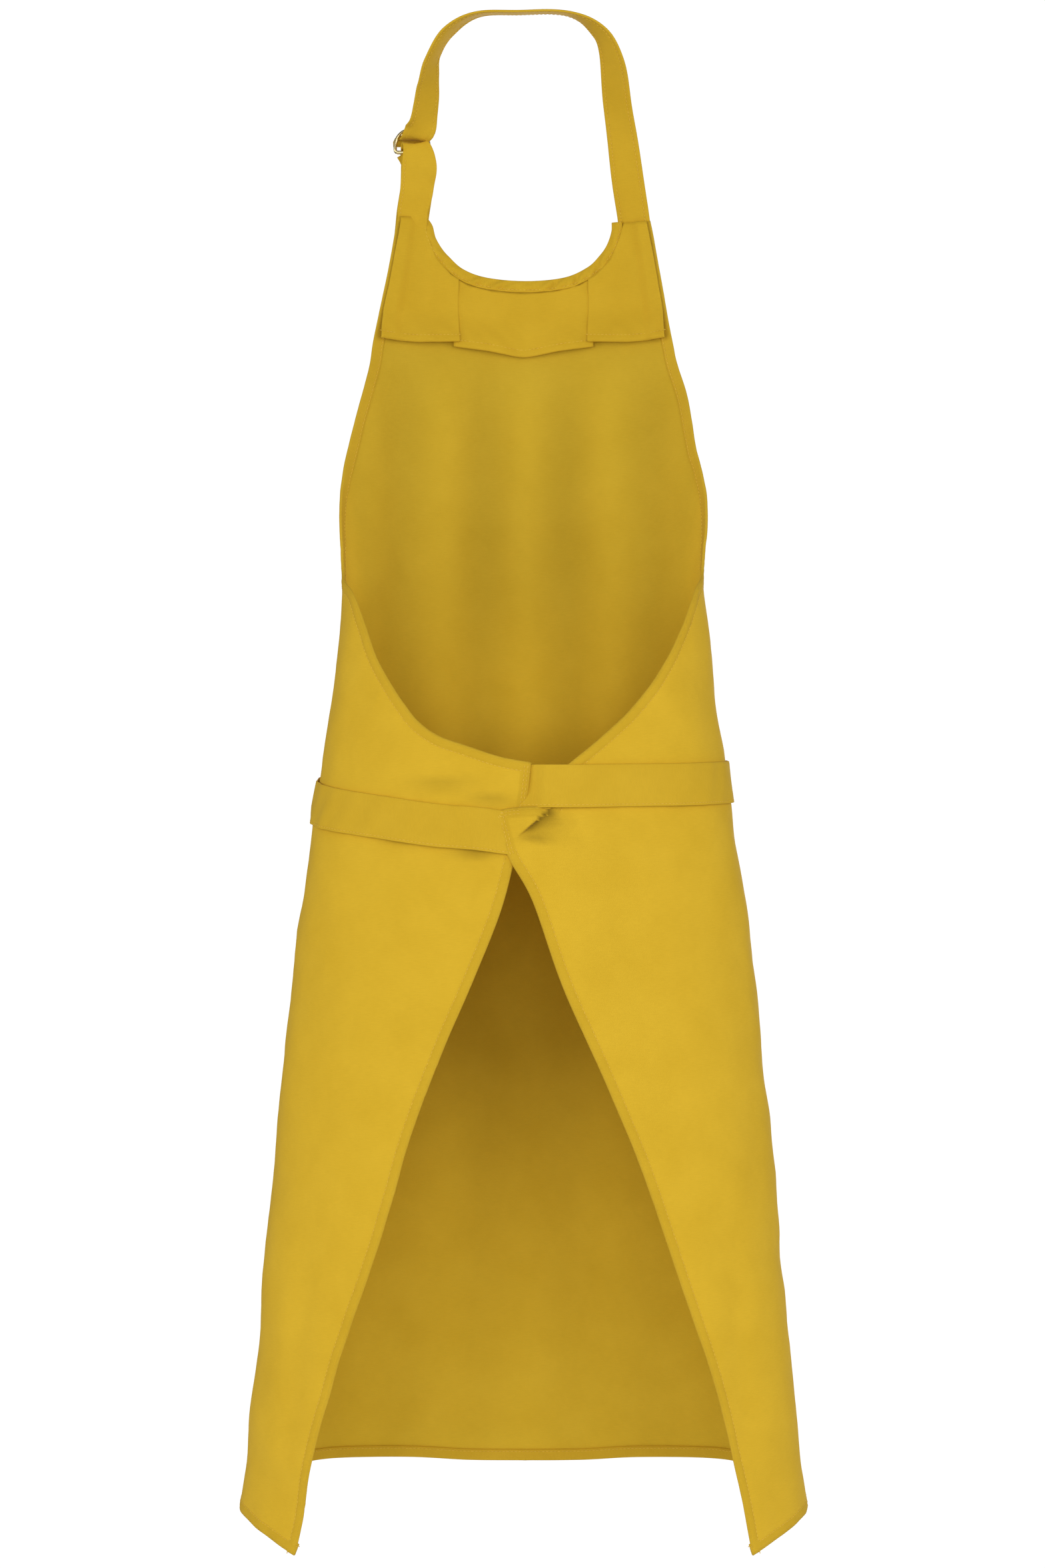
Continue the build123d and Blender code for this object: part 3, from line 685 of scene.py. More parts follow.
# Each hem's line and the side of it on which the cloth lies
HEM_LINES = {"left_armhole_hem": (left_side, -1),
             "right_armhole_hem": (joined(right_side, trimmed(right_end, 1)), 1),
             "left_slit_hem": (joined(trimmed(left_end, 0, 1), left_slit), -1),
             "right_slit_hem": (joined(trimmed(right_flap, 0, 1), right_slit), 1),
             "front_hem": (front_foot, 1), "left_wing_hem": (reverse(left_foot), 1),
             "right_wing_hem": (right_foot, 1)}
hems = {name: lay(name, line, hem_section, side, hem_lift) for name, (line, side) in HEM_LINES.items()}
print("hems", len(hems))

# %% [markdown]
# ## The facing
# Inside the bib lies a second layer in three sections. Each hangs free at its lower edge, which
# stands a few millimetres off the bib and throws a soft shadow. A section is a grid between its
# two side lines, its rim under the neck band and its foot. The side sections overlap the centre one.
# Rim and foot are given as distances from the bib's middle and heights, in mm.

# %% Facing
FACING_RIM = np.array([(-90, -138.6), (-76, -138.6), (-72.5, -150), (-66, -165), (-55, -176.5),
                       (-42, -184), (-22, -188.5), (0, -190)])
FACING_SEAM = 50.5  # distance of the seams from the bib's middle, in mm
CENTRE_FOOT = np.array([(0, -238.4), (6, -237.8), (27, -234.1), (50.5, -231.3), (54, -230.8)])
SIDE_FOOT = np.array([(48, -227.2), (60, -227.8), (80, -228.8), (95, -228.2), (112, -226.8)])
FACING_IN = 0.75 * MM  # how far inside the form the facing lies
FOOT_STITCHES = 5.5  # height of the foot's stitches above its edge, in mm


def facing(name, inner, outer, foot, stand, overlap, taller=0):
    """A facing section from inner to outer, in mm across; outer is a function of the height."""
    def standing(x, up):
        """How far the free foot stands off the bib."""
        return (1 - smooth(up, 0, 26 * MM)) * stand * (0.75 + 0.25 * np.cos(x * 0.11 + inner))

    u, v = np.meshgrid(np.linspace(0, 1, 56), np.linspace(0, 1, 30))
    height = np.full_like(u, -190.0)
    for _ in range(4):  # height and distance across need each other, so both are refined in turns
        reach = np.abs(inner + (outer(height) - inner) * u)
        rim = np.interp(-reach, FACING_RIM[:, 0], FACING_RIM[:, 1]) + taller * smooth(reach, 68, 75)
        low = np.interp(reach, foot[:, 0], foot[:, 1])
        height = rim + (low - rim) * v
    x = inner + (outer(height) - inner) * u
    angle = front_angle(x, height)
    up = (height - low) * MM
    groove = np.exp(-((up - FOOT_STITCHES * MM) / (0.9 * MM)) ** 2)
    fold = 0.35 * MM * (1 - smooth(up, 4.6 * MM, 6.6 * MM)) - 0.3 * MM * groove
    wave = 0.35 * MM * np.sin(x * 0.33 + up * 260) * np.exp(-((up - 9 * MM) / (9 * MM)) ** 2)
    over = overlap * (1 - smooth(np.abs(x), FACING_SEAM + 3, FACING_SEAM + 16))
    if overlap:
        over = over + 2.2 * MM * smooth(u, 0.7, 0.86) + 1.3 * MM * (1 - smooth(v, 0.12, 0.3))
    places = skin(height * MM, angle, -FACING_IN - over - standing(x, up) - fold - wave)
    index = np.arange(u.size).reshape(u.shape).tolist()
    faces = [(index[i][j], index[i + 1][j], index[i + 1][j + 1], index[i][j + 1])
             for i in range(u.shape[0] - 1) for j in range(u.shape[1] - 1)]
    flat = np.stack([x * MM, height * MM], -1).reshape(-1, 2)
    piece = make_mesh(name, places.reshape(-1, 3), faces, flat)
    shell = piece.modifiers.new("cloth thickness", "SOLIDIFY")
    shell.thickness = CLOTH
    shell.offset = 0
    line_height = low[-1] + FOOT_STITCHES
    line_out = -FACING_IN - over[-1] - standing(x[-1], FOOT_STITCHES * MM) - CLOTH / 2 - THREAD_SINK
    return outwards(finished(piece)), skin(line_height * MM, front_angle(x[-1], line_height), line_out)


def bib_reach(height):
    """Distance of the side sections' outer line from the middle, at a height in mm."""
    side = np.interp(-height, *np.transpose([(-h, a) for h, a in BIB_SIDE[:4]]))
    return along(HALF_WIDTH, height * MM) / MM * np.sin(np.radians(side)) - 1.2


CENTRE_STAND, SIDE_STAND, SIDE_OVER = 5.6 * MM, 7.0 * MM, 0.55 * MM
LEFT_TALLER = 3.8  # the left section follows the bib's higher left corner
facings = {}
facings["facing_centre"], centre_stitches = facing(
    "facing_centre", -FACING_SEAM - 3, lambda h: FACING_SEAM + 3, CENTRE_FOOT, CENTRE_STAND, 0)
facings["facing_left"], left_stitches = facing(
    "facing_left", -FACING_SEAM + 1.5, lambda h: -bib_reach(h), SIDE_FOOT, SIDE_STAND, SIDE_OVER,
    LEFT_TALLER)
facings["facing_right"], right_stitches = facing(
    "facing_right", FACING_SEAM - 1.5, bib_reach, SIDE_FOOT, SIDE_STAND, SIDE_OVER)
print("facing", [len(piece.data.polygons) for piece in facings.values()])

# %% [markdown]
# ## The neck band
# A band turned in along the neckline has to follow an inside curve, so its free edge is too short and
# drags. That pulls slanting puckers into it, most of them at the bottom of the curve.

# %% Neck band
NECK_STEP = 1.5  # spacing of the band's mesh along the neckline, in mm
NECK_PUCKER = 2.4 * MM
neck_line = edge([(h, front_angle(x, h)) for x, h in NECKLINE], NECK_STEP * MM)


def neck_pucker(height, angle, across):
    """Slanting puckers, deepest halfway across the band and at the bottom of the curve."""
    s = np.arange(len(height)) * NECK_STEP * MM
    at = s / s[-1]
    depth = 0.25 + 0.75 * smooth(at, 0.18, 0.36) * (1 - smooth(at, 0.78, 0.92))
    drag = across * 0.9
    wave = np.sin((s + drag) * 620 + 2.2 * np.sin(s * 95)) * 0.55 + 0.45 * np.sin((s + drag) * 391 + 1.3)
    middle = math.exp(-((across - 4.3 * MM) / (3.4 * MM)) ** 2) if across > 0 else 0
    return -NECK_PUCKER * depth * wave * middle


NECK_LEAF = [(2.0, -1.9), (3.2, -2.3), (4.4, -2.4), (5.6, -2.3), (6.4, -2.0), (7.2, -2.1),
             (7.9, -2.0), (8.2, -1.6), (7.8, -0.8), (5, 0.1)]
neck_section = in_metres([(2.4, 0.3), (1.4, 0.82)] + NOSE + NECK_LEAF)
neck_band = lay("neck_band", neck_line, neck_section, 1, neck_pucker)
print("neck band", len(neck_band.data.polygons))

# %% [markdown]
# ## Free ribbons
# The neck strap, its tail, the ring tab and the bow are ribbons that hang by themselves. Each
# follows stations of place, width direction and width, in mm, on a smooth curve. The section is
# flat with round edges and a shallow groove where its edge stitches sink in.

# %% Ribbons
ribbons = {}


def ribbon_frames(stations, step=2.5 * MM):
    """Even steps on a smooth curve through stations of place, width direction and width in mm."""
    rows = np.array([(*place, *[10 * c for c in wide], width) for place, wide, width in stations], float)
    rows = smooth_line(rows, 40)
    steps = np.linalg.norm(np.diff(rows[:, :3], axis=0), axis=1)
    length = np.concatenate([[0], np.cumsum(steps)]) * MM
    at = np.linspace(0, length[-1], max(int(length[-1] / step), 4) + 1)
    rows = np.stack([np.interp(at, length, rows[:, k]) for k in range(7)], 1)
    centre = rows[:, :3] * MM
    run = np.gradient(centre, axis=0)
    run /= np.linalg.norm(run, axis=1, keepdims=True)
    wide = rows[:, 3:6] - run * np.sum(rows[:, 3:6] * run, 1, keepdims=True)
    wide /= np.linalg.norm(wide, axis=1, keepdims=True)
    return centre, wide, np.cross(run, wide), rows[:, 6] * MM, at


def ribbon(name, stations, thick, stitched=2.6 * MM, step=2.5 * MM, shape=None):
    """A free ribbon; shape may move its points by (distance along, share across) to a distance out."""
    centre, wide, out, width, at = ribbon_frames(stations, step)
    half, r = width / 2, thick / 2
    inner = half - stitched
    beside, groove = 0.8 * MM, r - 0.22 * MM
    line = [(-half + r, r), (-inner - beside, r), (-inner, groove), (-inner + beside, r), (-half / 2, r),
            (0 * half, r), (half / 2, r), (inner - beside, r), (inner, groove), (inner + beside, r),
            (half - r, r)]
    end = [(half - r + r * math.cos(t), r * math.sin(t)) for t in (0.9, 0.3, -0.3, -0.9)]
    section = line + end + [(x, -y) for x, y in line[::-1]] + [(-x, y) for x, y in end[::-1]]
    rows = []
    for x, y in section:
        lift = np.zeros(at.shape) if shape is None else shape(at, x / half)
        rows.append(centre + wide * x[:, None] + out * (y + lift)[:, None])
    flat = [float(np.mean(x)) for x, _ in section]
    ribbons[name] = (centre, wide, out, width, at, thick, stitched, shape)
    return sweep(name, np.stack(rows, 1), flat)


def ribbon_line(name, share, face, first=0.0, last=1.0):
    """A line on one face of a ribbon, at its edge stitches (share -1 or 1) or anywhere between."""
    centre, wide, out, width, at, thick, stitched, shape = ribbons[name]
    x = share * (width / 2 - stitched)
    lift = np.zeros(at.shape) if shape is None else shape(at, x / (width / 2))
    line = centre + wide * x[:, None] + out * (face * (thick / 2 - 0.02 * MM) + lift)[:, None]
    return line[int(first * len(line)):int(last * len(line))]


print("ribbon helpers ready")

# %% [markdown]
# ## Neck strap, rings and tab
# The strap starts behind the bib's right corner, goes over the neck and comes down to the two rings.
# It passes through both, turns over the front one and hangs down as the tail. The tab is a folded
# piece of the same strap that holds the rings' straight bars. It has worn soft: its free edge waves.

# %% Neck strap
strap_stations = [
    ((82.9, 81.7, -147.0), (0.95, -0.31, 0), 25), ((82.4, 81.0, -137.2), (0.95, -0.31, 0), 25),
    ((77.5, 66.0, -108.0), (0.93, -0.3, 0), 25), ((70.0, 42.0, -62.0), (0.78, -0.62, 0), 25),
    ((63.5, 14.0, -29.0), (0.54, -0.83, 0), 25), ((54.0, 4.0, -12.0), (0.25, -0.95, 0.1), 25),
    ((34.0, 0.5, -1.0), (0.05, -1, -0.1), 25), ((0.0, 0.0, 0.8), (0, -1, -0.12), 25),
    ((-32.0, 0.5, -0.6), (-0.05, -1, -0.1), 25), ((-54.0, 5.0, -12.5), (-0.1, -0.99, 0.1), 25),
    ((-66.0, 16.0, -29.0), (-0.25, -0.97, 0), 25), ((-69.3, 30.0, -43.0), (-0.45, -0.88, 0), 24.5),
    ((-71.2, 42.0, -55.1), (-0.64, -0.77, 0), 24), ((-74.0, 52.0, -66.5), (-0.8, -0.6, 0), 23.4),
    ((-77.0, 58.3, -74.0), (-1, -0.2, 0.12), 23.4), ((-80.6, 62.3, -77.8), (-1, -0.05, 0.1), 20.5),
    ((-82.6, 66.0, -78.8), (-1, 0, 0), 19), ((-83.6, 70.0, -78.6), (-1, 0, 0), 20),
    ((-85.0, 74.4, -79.4), (-1, 0, 0), 24.5), ((-85.0, 76.4, -82.6), (-1, 0, 0), 25)]


def strap_shape(at, share):
    """Soft length waves and a slight cup across."""
    cup = 0.5 * MM * share * share
    return cup + 0.5 * MM * np.sin(at * 41 + 2 * share) * share + 0.35 * MM * np.sin(at * 97 + 1.1)


neck_strap = ribbon("neck_strap", strap_stations, STRAP_THICK, 3.4 * MM, shape=strap_shape)
tail_stations = [
    ((-83.8, 76.6, -84.6), (-1, 0, 0), 25), ((-81.0, 77.2, -90.0), (-1, 0, 0), 24.5),
    ((-78.8, 79.0, -98.0), (-1, -0.05, 0), 24.4), ((-80.2, 82.5, -114.0), (-1, -0.1, 0), 24.6),
    ((-82.8, 85.8, -130.0), (-1, -0.2, 0), 25), ((-84.4, 88.0, -143.0), (-1, -0.3, 0), 25),
    ((-85.8, 88.8, -155.0), (-1, -0.33, 0), 25), ((-88.5, 89.5, -179.4), (-1, -0.33, 0), 25)]
strap_tail = ribbon("strap_tail", tail_stations, STRAP_THICK, 3.4 * MM)
print("strap", len(neck_strap.data.polygons), "tail", len(strap_tail.data.polygons))

# %% [markdown]
# ## Ring tab
# The tab goes up behind the rings' bars, over them and down in front, so its stations run round in
# a flat loop. It is narrower where it passes through the rings.

# %% Tab
tab_stations = [
    ((-83.6, 81.4, -146.0), (1, 0.1, 0), 22), ((-83.0, 78.4, -137.0), (1, 0.1, 0), 22.2),
    ((-82.6, 75.8, -128.8), (1, 0.12, 0), 23.3), ((-80.2, 71.8, -119.5), (1, 0.1, 0), 24.6),
    ((-79.0, 68.8, -111.2), (1, 0.05, 0), 25.3), ((-77.6, 64.2, -101.5), (1, 0, 0), 26.2),
    ((-77.9, 61.8, -94.6), (1, 0, 0), 25), ((-79.0, 60.2, -88.6), (1, 0, 0), 22.6),
    ((-80.4, 60.2, -84.6), (1, 0, 0), 19.6), ((-81.2, 61.4, -83.6), (1, 0, 0), 19),
    ((-81.7, 62.9, -85.0), (1, 0, 0), 19), ((-82.0, 64.6, -86.3), (1, 0, 0), 19),
    ((-82.0, 67.7, -86.2), (1, 0, 0), 19), ((-82.0, 69.5, -87.6), (1, 0, 0), 19),
    ((-81.9, 69.9, -91.0), (1, 0, 0), 19.5), ((-80.5, 70.6, -98.0), (1, 0, 0), 22),
    ((-80.5, 74.8, -112.0), (1, 0.1, 0), 23), ((-82.6, 80.8, -131.0), (1, 0.12, 0), 22.5),
    ((-83.4, 83.4, -141.0), (1, 0.1, 0), 22)]


def tab_shape(at, share):
    """The worn tab's free edge waves."""
    soft = smooth(share, 0.1, 1.0)
    return 0.8 * MM * soft * np.sin(at * 210 + 0.6) * np.where(at < 0.06, 1, 0.3)


ring_tab = ribbon("ring_tab", tab_stations, 1.15 * MM, 2.4 * MM, 1.2 * MM, tab_shape)
print("tab", len(ring_tab.data.polygons))

# %% [markdown]
# ## Rings
# A ring is a half circle of wire with a straight bar across. Its middle line is worked out from its
# half width, and a round section is carried along it. The rings lean, the front one more.

# %% Ring wires
WIRE = 2.4 * MM
RING_HALF = 12.6 * MM
RING_STRAIGHT = 5 * MM
RING_PLACE = np.array([-83, 66, -89]) * MM
RING_PITCH = 3 * MM
corner = [(math.radians(a), 2 * MM) for a in (-90, -67, -45, -22, 0)]
half_ring = [(0, 0), (RING_HALF / 2, 0)]
half_ring += [(RING_HALF - r + r * math.cos(t), r + r * math.sin(t)) for t, r in corner]
half_ring += [(RING_HALF * math.cos(t), RING_STRAIGHT + RING_HALF * math.sin(t))
              for t in np.radians(range(0, 90, 6))]
ring_line = half_ring + [(0, RING_STRAIGHT + RING_HALF)] + [(-x, y) for x, y in half_ring[:0:-1]]
rings = {}
for name, share, lean in (("rear_ring", -0.5, 6), ("front_ring", 0.5, 18)):
    up = np.array([0, math.sin(math.radians(lean)), math.cos(math.radians(lean))])
    start = RING_PLACE + np.array([0, share * RING_PITCH, 0])
    path = np.array([start + np.array([x, 0, 0]) + up * y for x, y in ring_line])
    run = np.roll(path, -1, 0) - np.roll(path, 1, 0)
    run /= np.linalg.norm(run, axis=1, keepdims=True)
    flat_out = np.cross([1, 0, 0], up)
    side = np.cross(run, flat_out)
    round_wire = np.radians(np.arange(0, 360, 30))
    rows = [path + (side * math.cos(t) + flat_out * math.sin(t)) * WIRE / 2 for t in round_wire]
    rows = np.stack(rows, 1)
    count, size = rows.shape[:2]
    faces = [(i * size + j, i * size + k, (i + 1) % count * size + k, (i + 1) % count * size + j)
             for i in range(count) for j, k in zip(range(size), (*range(1, size), 0))]
    rings[name] = outwards(make_mesh(name + "_wire", rows.reshape(-1, 3), faces))
print("ring faces", len(faces))

# %% [markdown]
# ## Ties
# Each tie is sewn under a wing's end at the centre back and lies round the waist to the bow in
# front. It is cloth folded lengthwise, with one row of stitches close to its lower edge.

# %% Ties
left_tie_path = [(-595.5, -184), (-594, -176.5), (-591, -168), (-588.5, -156), (-583.5, -140),
                 (-579, -122), (-574, -100),
                 (-570, -82), (-566, -64), (-561, -44), (-556, -26), (-552, -15), (-551, -6)]
right_tie_path = [(-561, 183), (-561, 177.3), (-561, 172.5), (-561, 165), (-560.5, 150),
                  (-560, 132), (-559, 112),
                  (-558, 92), (-556.5, 72), (-555, 50), (-553, 30), (-551.5, 16), (-551, 6)]
HALF = 15  # half a tie's width, in mm
TIE_STITCHES = -TIE / 2 + 1.8 * MM  # across, from the tie's middle to its stitches
tie_section = in_metres([
    (-HALF + 0.6, 0.1), (-HALF + 0.1, 0.35), (-HALF, 0.7), (-HALF + 0.1, 1.1), (-HALF + 0.7, 1.3),
    (-HALF + 1.3, 1.2), (-HALF + 1.8, 1.0), (-HALF + 2.4, 1.25), (-9, 1.4), (-4, 1.4), (2, 1.4), (8, 1.4),
    (HALF - 2, 1.35), (HALF - 0.5, 1.3), (HALF, 0.9), (HALF, 0.5), (HALF - 0.5, 0.1), (8, 0), (2, 0),
    (-4, 0), (-9, 0)])


def slack(height, angle, across):
    """A tie lies on the cloth at its upper edge and stands off it a little at its lower edge."""
    low = smooth(-across, -6 * MM, 15 * MM)
    back = smooth(np.abs(angle), 95, 125)
    return low * back * (0.9 * MM + 0.5 * MM * np.sin(np.radians(angle) * 9)) + 0.25 * MM * np.sin(
        np.radians(angle) * 31 + across * 130)


def left_tie_lift(height, angle, across):
    return CLOTH + 1.0 * MM + 1.5 * slack(height, angle, across) * (1 - smooth(-angle, 170, 178))


def right_tie_lift(height, angle, across):
    over = CLOTH + 1.15 * MM + wing_lift(angle) + slack(height, angle, across)
    return over + (-1.7 * MM - over) * smooth(angle, 174, 178.5)


left_tie_line, right_tie_line = edge(left_tie_path), edge(right_tie_path)
left_tie = lay("left_tie", left_tie_line, tie_section, -1, left_tie_lift)
right_tie = lay("right_tie", right_tie_line, tie_section, 1, right_tie_lift)
print("ties", len(left_tie.data.polygons), len(right_tie.data.polygons))

# %% [markdown]
# ## The bow
# In front the ties are knotted to a bow. The knot is a short wrap of the same ribbon. Each loop is a
# ribbon that leaves the knot gathered, opens to its full width and comes back. The tails hang
# down with soft turns and a folded end.

# %% Bow knot
KNOT = np.array([0, 101.5, -551]) * MM
around = np.linspace(0, 2 * math.pi, 49)[:-1]
levels = np.linspace(-1, 1, 25)
rows = []
for x in levels:
    puff = (1 - abs(x) ** 5) ** 0.4 if abs(x) < 1 else 0.0
    pinch = 0.55 + 0.45 * puff
    radius = 1 + 0.05 * np.cos(around * 7 + 3 * x) + 0.04 * np.sin(around * 13 - 5 * x)
    wide = np.sign(np.cos(around)) * np.abs(np.cos(around)) ** 0.75 * 7.2 * MM * pinch * radius
    tall = np.sign(np.sin(around)) * np.abs(np.sin(around)) ** 0.75 * 13.6 * MM * pinch * radius
    slant = 2.2 * MM * x
    rows.append(np.stack([np.full(48, x * 15 * MM * (0.9 + 0.1 * pinch)), wide, tall + slant], 1) + KNOT)
bow_knot = sweep("bow_knot", np.array(rows))
print("knot", len(bow_knot.data.polygons))

# %% [markdown]
# ## Loops and tails
# Both sides of the bow are the same but for their direction, so a loop makes them. A bow loop goes
# out and comes back the same way, so only half of its stations are written.

# %% Loops and tails
DROOP = math.radians(35)
# Half a loop: distance from the knot, half its thickness and its width, in mm
HALF_LOOP = [(0, 1.3, 9), (10, 2.6, 14), (24, 4.0, 22), (42, 5.0, 27), (62, 5.2, 29), (80, 4.4, 29),
             (90, 2.4, 29), (93.4, 0, 29)]
turns = HALF_LOOP + [(p, -q, width) for p, q, width in HALF_LOOP[-2::-1]]
# A tail: place from its start and width, in mm
TAIL = [(0, 0, 0, 13), (4, -0.5, -14, 17), (9, 0, -30, 24), (12, 0.5, -45, 28), (17, 4, -82, 30),
        (20, 7.5, -115, 30), (24, 9.5, -150, 30), (27, 14, -190, 30), (30, 18.5, -230, 30),
        (32, 20.5, -264, 30)]


def gathers(at, share):
    """A loop's gathers at the knot, and its soft turns."""
    near = np.minimum(at, at[-1] - at)
    tight = 1.1 * MM * (1 - smooth(near, 0, 0.06)) * np.sin(share * 7.5)
    return tight + 0.3 * MM * np.sin(at * 60 + share)


def hanging(at, share):
    """A tail's gathers at the knot, and its soft turns."""
    tight = 0.9 * MM * (1 - smooth(at, 0, 0.07)) * np.sin(share * 6)
    return tight + 1.3 * MM * np.sin(at * 23 + 1.5 * share) * smooth(at, 0.02, 0.1)


bow_loops, tie_tails = {}, {}
for name, side in (("left", -1), ("right", 1)):
    root = KNOT / MM + np.array([side * 18.2, 0, -1])
    reach = np.array([side * math.cos(DROOP), 0, -math.sin(DROOP)])
    up = (side * math.sin(DROOP), 0, math.cos(DROOP))
    stations = [(tuple(root + reach * p + np.array([0, q, 0])), up, width) for p, q, width in turns]
    bow_loops[name] = ribbon(name + "_bow_loop", stations, 1.0 * MM, 1.7 * MM, shape=gathers)
    start = KNOT / MM + np.array([side * 9, 0, -14.8])
    stations = [(tuple(start + np.array([side * x, y, z])), (1, 0.06 * side * (k % 3 - 1), 0), width)
                for k, (x, y, z, width) in enumerate(TAIL)]
    tie_tails[name] = ribbon(name + "_tie_tail", stations, 1.1 * MM, 1.7 * MM, shape=hanging)
print("bow ready")

# %% [markdown]
# ## Stitches
# Every seam is a row of lockstitches: short bars of thread, end to end, sunk in a groove. There are
# a few thousand, so Geometry Nodes set them out. The lines come in as a mesh of edges, one mesh for
# each body that moves, and a small round bar is put at each step and turned along its line.

# %% Stitch lines
lines = {"apron": [], "strap_tail": [], "left_bow_loop": [], "right_bow_loop": [], "left_tie_tail": [],
         "right_tie_tail": []}


def hem_lines(line, side, distance=STITCH_IN, inner=-1.05 * MM):
    """A hem's stitches on the right side of the cloth, and on the wrong side where that is wanted."""
    height, angle = inset(line, distance, side)
    rise = lifted(angle) + pucker(height, angle, np.full(len(height), distance))
    lines["apron"].append(skin(height, angle, CLOTH + rise + THREAD_SINK))
    if inner is not None:
        lines["apron"].append(skin(height, angle, inner - THREAD_SINK + rise))


hem_lines(left_side, -1)
hem_lines(joined(right_side, trimmed(right_end, 1)), 1)
hem_lines(joined(trimmed(left_end, 12), left_slit), -1)
hem_lines(trimmed(right_slit, 10), 1)
hem_lines(front_foot, 1)
hem_lines(reverse(left_foot), 1)
hem_lines(right_foot, 1)
hem_lines(neck_line, 1, STITCH_IN, -2.1 * MM)
slit_start = trimmed(right_slit, 0, len(right_slit[0]) - 11)
for distance in (1.8 * MM, 4.0 * MM):  # the ends where the ties are sewn on have more rows
    hem_lines(trimmed(left_end, 1, 11), -1, distance, None)
    hem_lines(joined(trimmed(right_flap, 8), slit_start), 1, distance, None)
lines["apron"] += [centre_stitches[3:-3], left_stitches, right_stitches]
for line, side, lift in ((left_tie_line, -1, left_tie_lift), (right_tie_line, 1, right_tie_lift)):
    height, angle = inset(line, TIE_STITCHES, side)
    rise = lift(height, angle, TIE_STITCHES)
    lines["apron"].append(skin(height, angle, 1.14 * MM + rise))
for share in (-1, 1):
    for face in (-1, 1):
        lines["apron"].append(ribbon_line("neck_strap", share, face, 0.03, 0.93))
        lines["strap_tail"].append(ribbon_line("strap_tail", share, face))
        for side in ("left", "right"):
            lines[side + "_bow_loop"].append(ribbon_line(side + "_bow_loop", share, face, 0.04, 0.96)[:-1])
            lines[side + "_tie_tail"].append(ribbon_line(side + "_tie_tail", share, face, 0.03, 1))
for face in (-1, 1):
    lines["apron"].append(ribbon_line("ring_tab", -1, face, 0.02, 0.42))
print("stitch lines", {body: len(found) for body, found in lines.items()})


# %% [markdown]
# ## Nodes
# Node trees are built the same way for stitches, materials and the room: a node gets its settings,
# then each input gets a value or a link from another node's output. Two helpers do that.

# %% Node helpers
def feed(made, inputs):
    """Gives a node's inputs their values, or links them to other nodes' outputs."""
    for name, value in inputs.items():
        if isinstance(value, bpy.types.NodeSocket):
            made.id_data.links.new(value, made.inputs[name])
        else:
            made.inputs[name].default_value = value
    return made


def node(tree, kind, inputs=None, **settings):
    """A new node with its settings and inputs."""
    made = tree.nodes.new(kind)
    for name, value in settings.items():
        setattr(made, name, value)
    return feed(made, inputs or {})


print("node helpers ready")

# %% [markdown]
# ## A tree that sews
# The tree turns each line into a curve and the curve into points a stitch apart. At each point it
# puts a six-sided bar, turned along the line, a little shorter than a step and not quite even.

# %% Stitch nodes
BAR_SHARE = 0.76  # a stitch's length as a share of its step
UNEVEN = (0.88, 1.12)  # smallest and largest scale of a stitch


def stitch_tree():
    """The tree that sews, and the identifiers of its inputs."""
    tree = bpy.data.node_groups.new("rows of stitches", "GeometryNodeTree")
    face = tree.interface
    face.new_socket("Lines", in_out="INPUT", socket_type="NodeSocketGeometry")
    sockets = {}
    for name, kind in (("Stitch length", "Float"), ("Thread", "Float"), ("Seed", "Int"),
                       ("Material", "Material")):
        socket = face.new_socket(name, in_out="INPUT", socket_type="NodeSocket" + kind)
        sockets[name] = socket.identifier
    face.new_socket("Stitches", in_out="OUTPUT", socket_type="NodeSocketGeometry")
    given = node(tree, "NodeGroupInput").outputs
    curve = node(tree, "GeometryNodeMeshToCurve", {"Mesh": given["Lines"]})
    points = node(tree, "GeometryNodeCurveToPoints",
                  {"Curve": curve.outputs["Curve"], "Length": given["Stitch length"]}, mode="LENGTH")
    bar = node(tree, "GeometryNodeMeshUVSphere", {"Segments": 6, "Rings": 4, "Radius": 0.5})
    turned = node(tree, "FunctionNodeAlignRotationToVector", {"Vector": points.outputs["Tangent"]},
                  axis="Z")
    long = node(tree, "ShaderNodeMath", {0: given["Stitch length"], 1: BAR_SHARE}, operation="MULTIPLY")
    size = node(tree, "ShaderNodeCombineXYZ",
                {"X": given["Thread"], "Y": given["Thread"], "Z": long.outputs[0]})
    vary = node(tree, "FunctionNodeRandomValue", {2: UNEVEN[0], 3: UNEVEN[1], "Seed": given["Seed"]})
    scaled = node(tree, "ShaderNodeVectorMath", {0: size.outputs[0], "Scale": vary.outputs[1]},
                  operation="SCALE")
    placed = node(tree, "GeometryNodeInstanceOnPoints",
                  {"Points": points.outputs["Points"], "Instance": bar.outputs["Mesh"],
                   "Rotation": turned.outputs["Rotation"], "Scale": scaled.outputs[0]})
    real = node(tree, "GeometryNodeRealizeInstances", {"Geometry": placed.outputs["Instances"]})
    soft = node(tree, "GeometryNodeSetShadeSmooth", {"Geometry": real.outputs["Geometry"]})
    finish = node(tree, "GeometryNodeSetMaterial",
                  {"Geometry": soft.outputs["Geometry"], "Material": given["Material"]})
    node(tree, "NodeGroupOutput", {0: finish.outputs["Geometry"]})
    return tree, sockets


tree, sockets = stitch_tree()
print("stitch nodes", len(tree.nodes))

# %% [markdown]
# ## Cotton drill
# The cloth is piece-dyed cotton twill. Its weave is fine diagonal lines, its yarns vary a little in
# thickness, and the dye takes unevenly, so the colour is softly mottled. Two or more layers together
# look deeper than one, because less light comes through, so the cloth where a hem lies on it and the
# hems, ties, straps and facing are painted a slightly deeper tone, as painted shade. The wings have a
# painted shadow beside the pleat and along the ties, and the front's wrong side painted shade in its
# flutes, its upper bib and below the waist. A little sheen stands for the fibres that stand off the
# yarns.

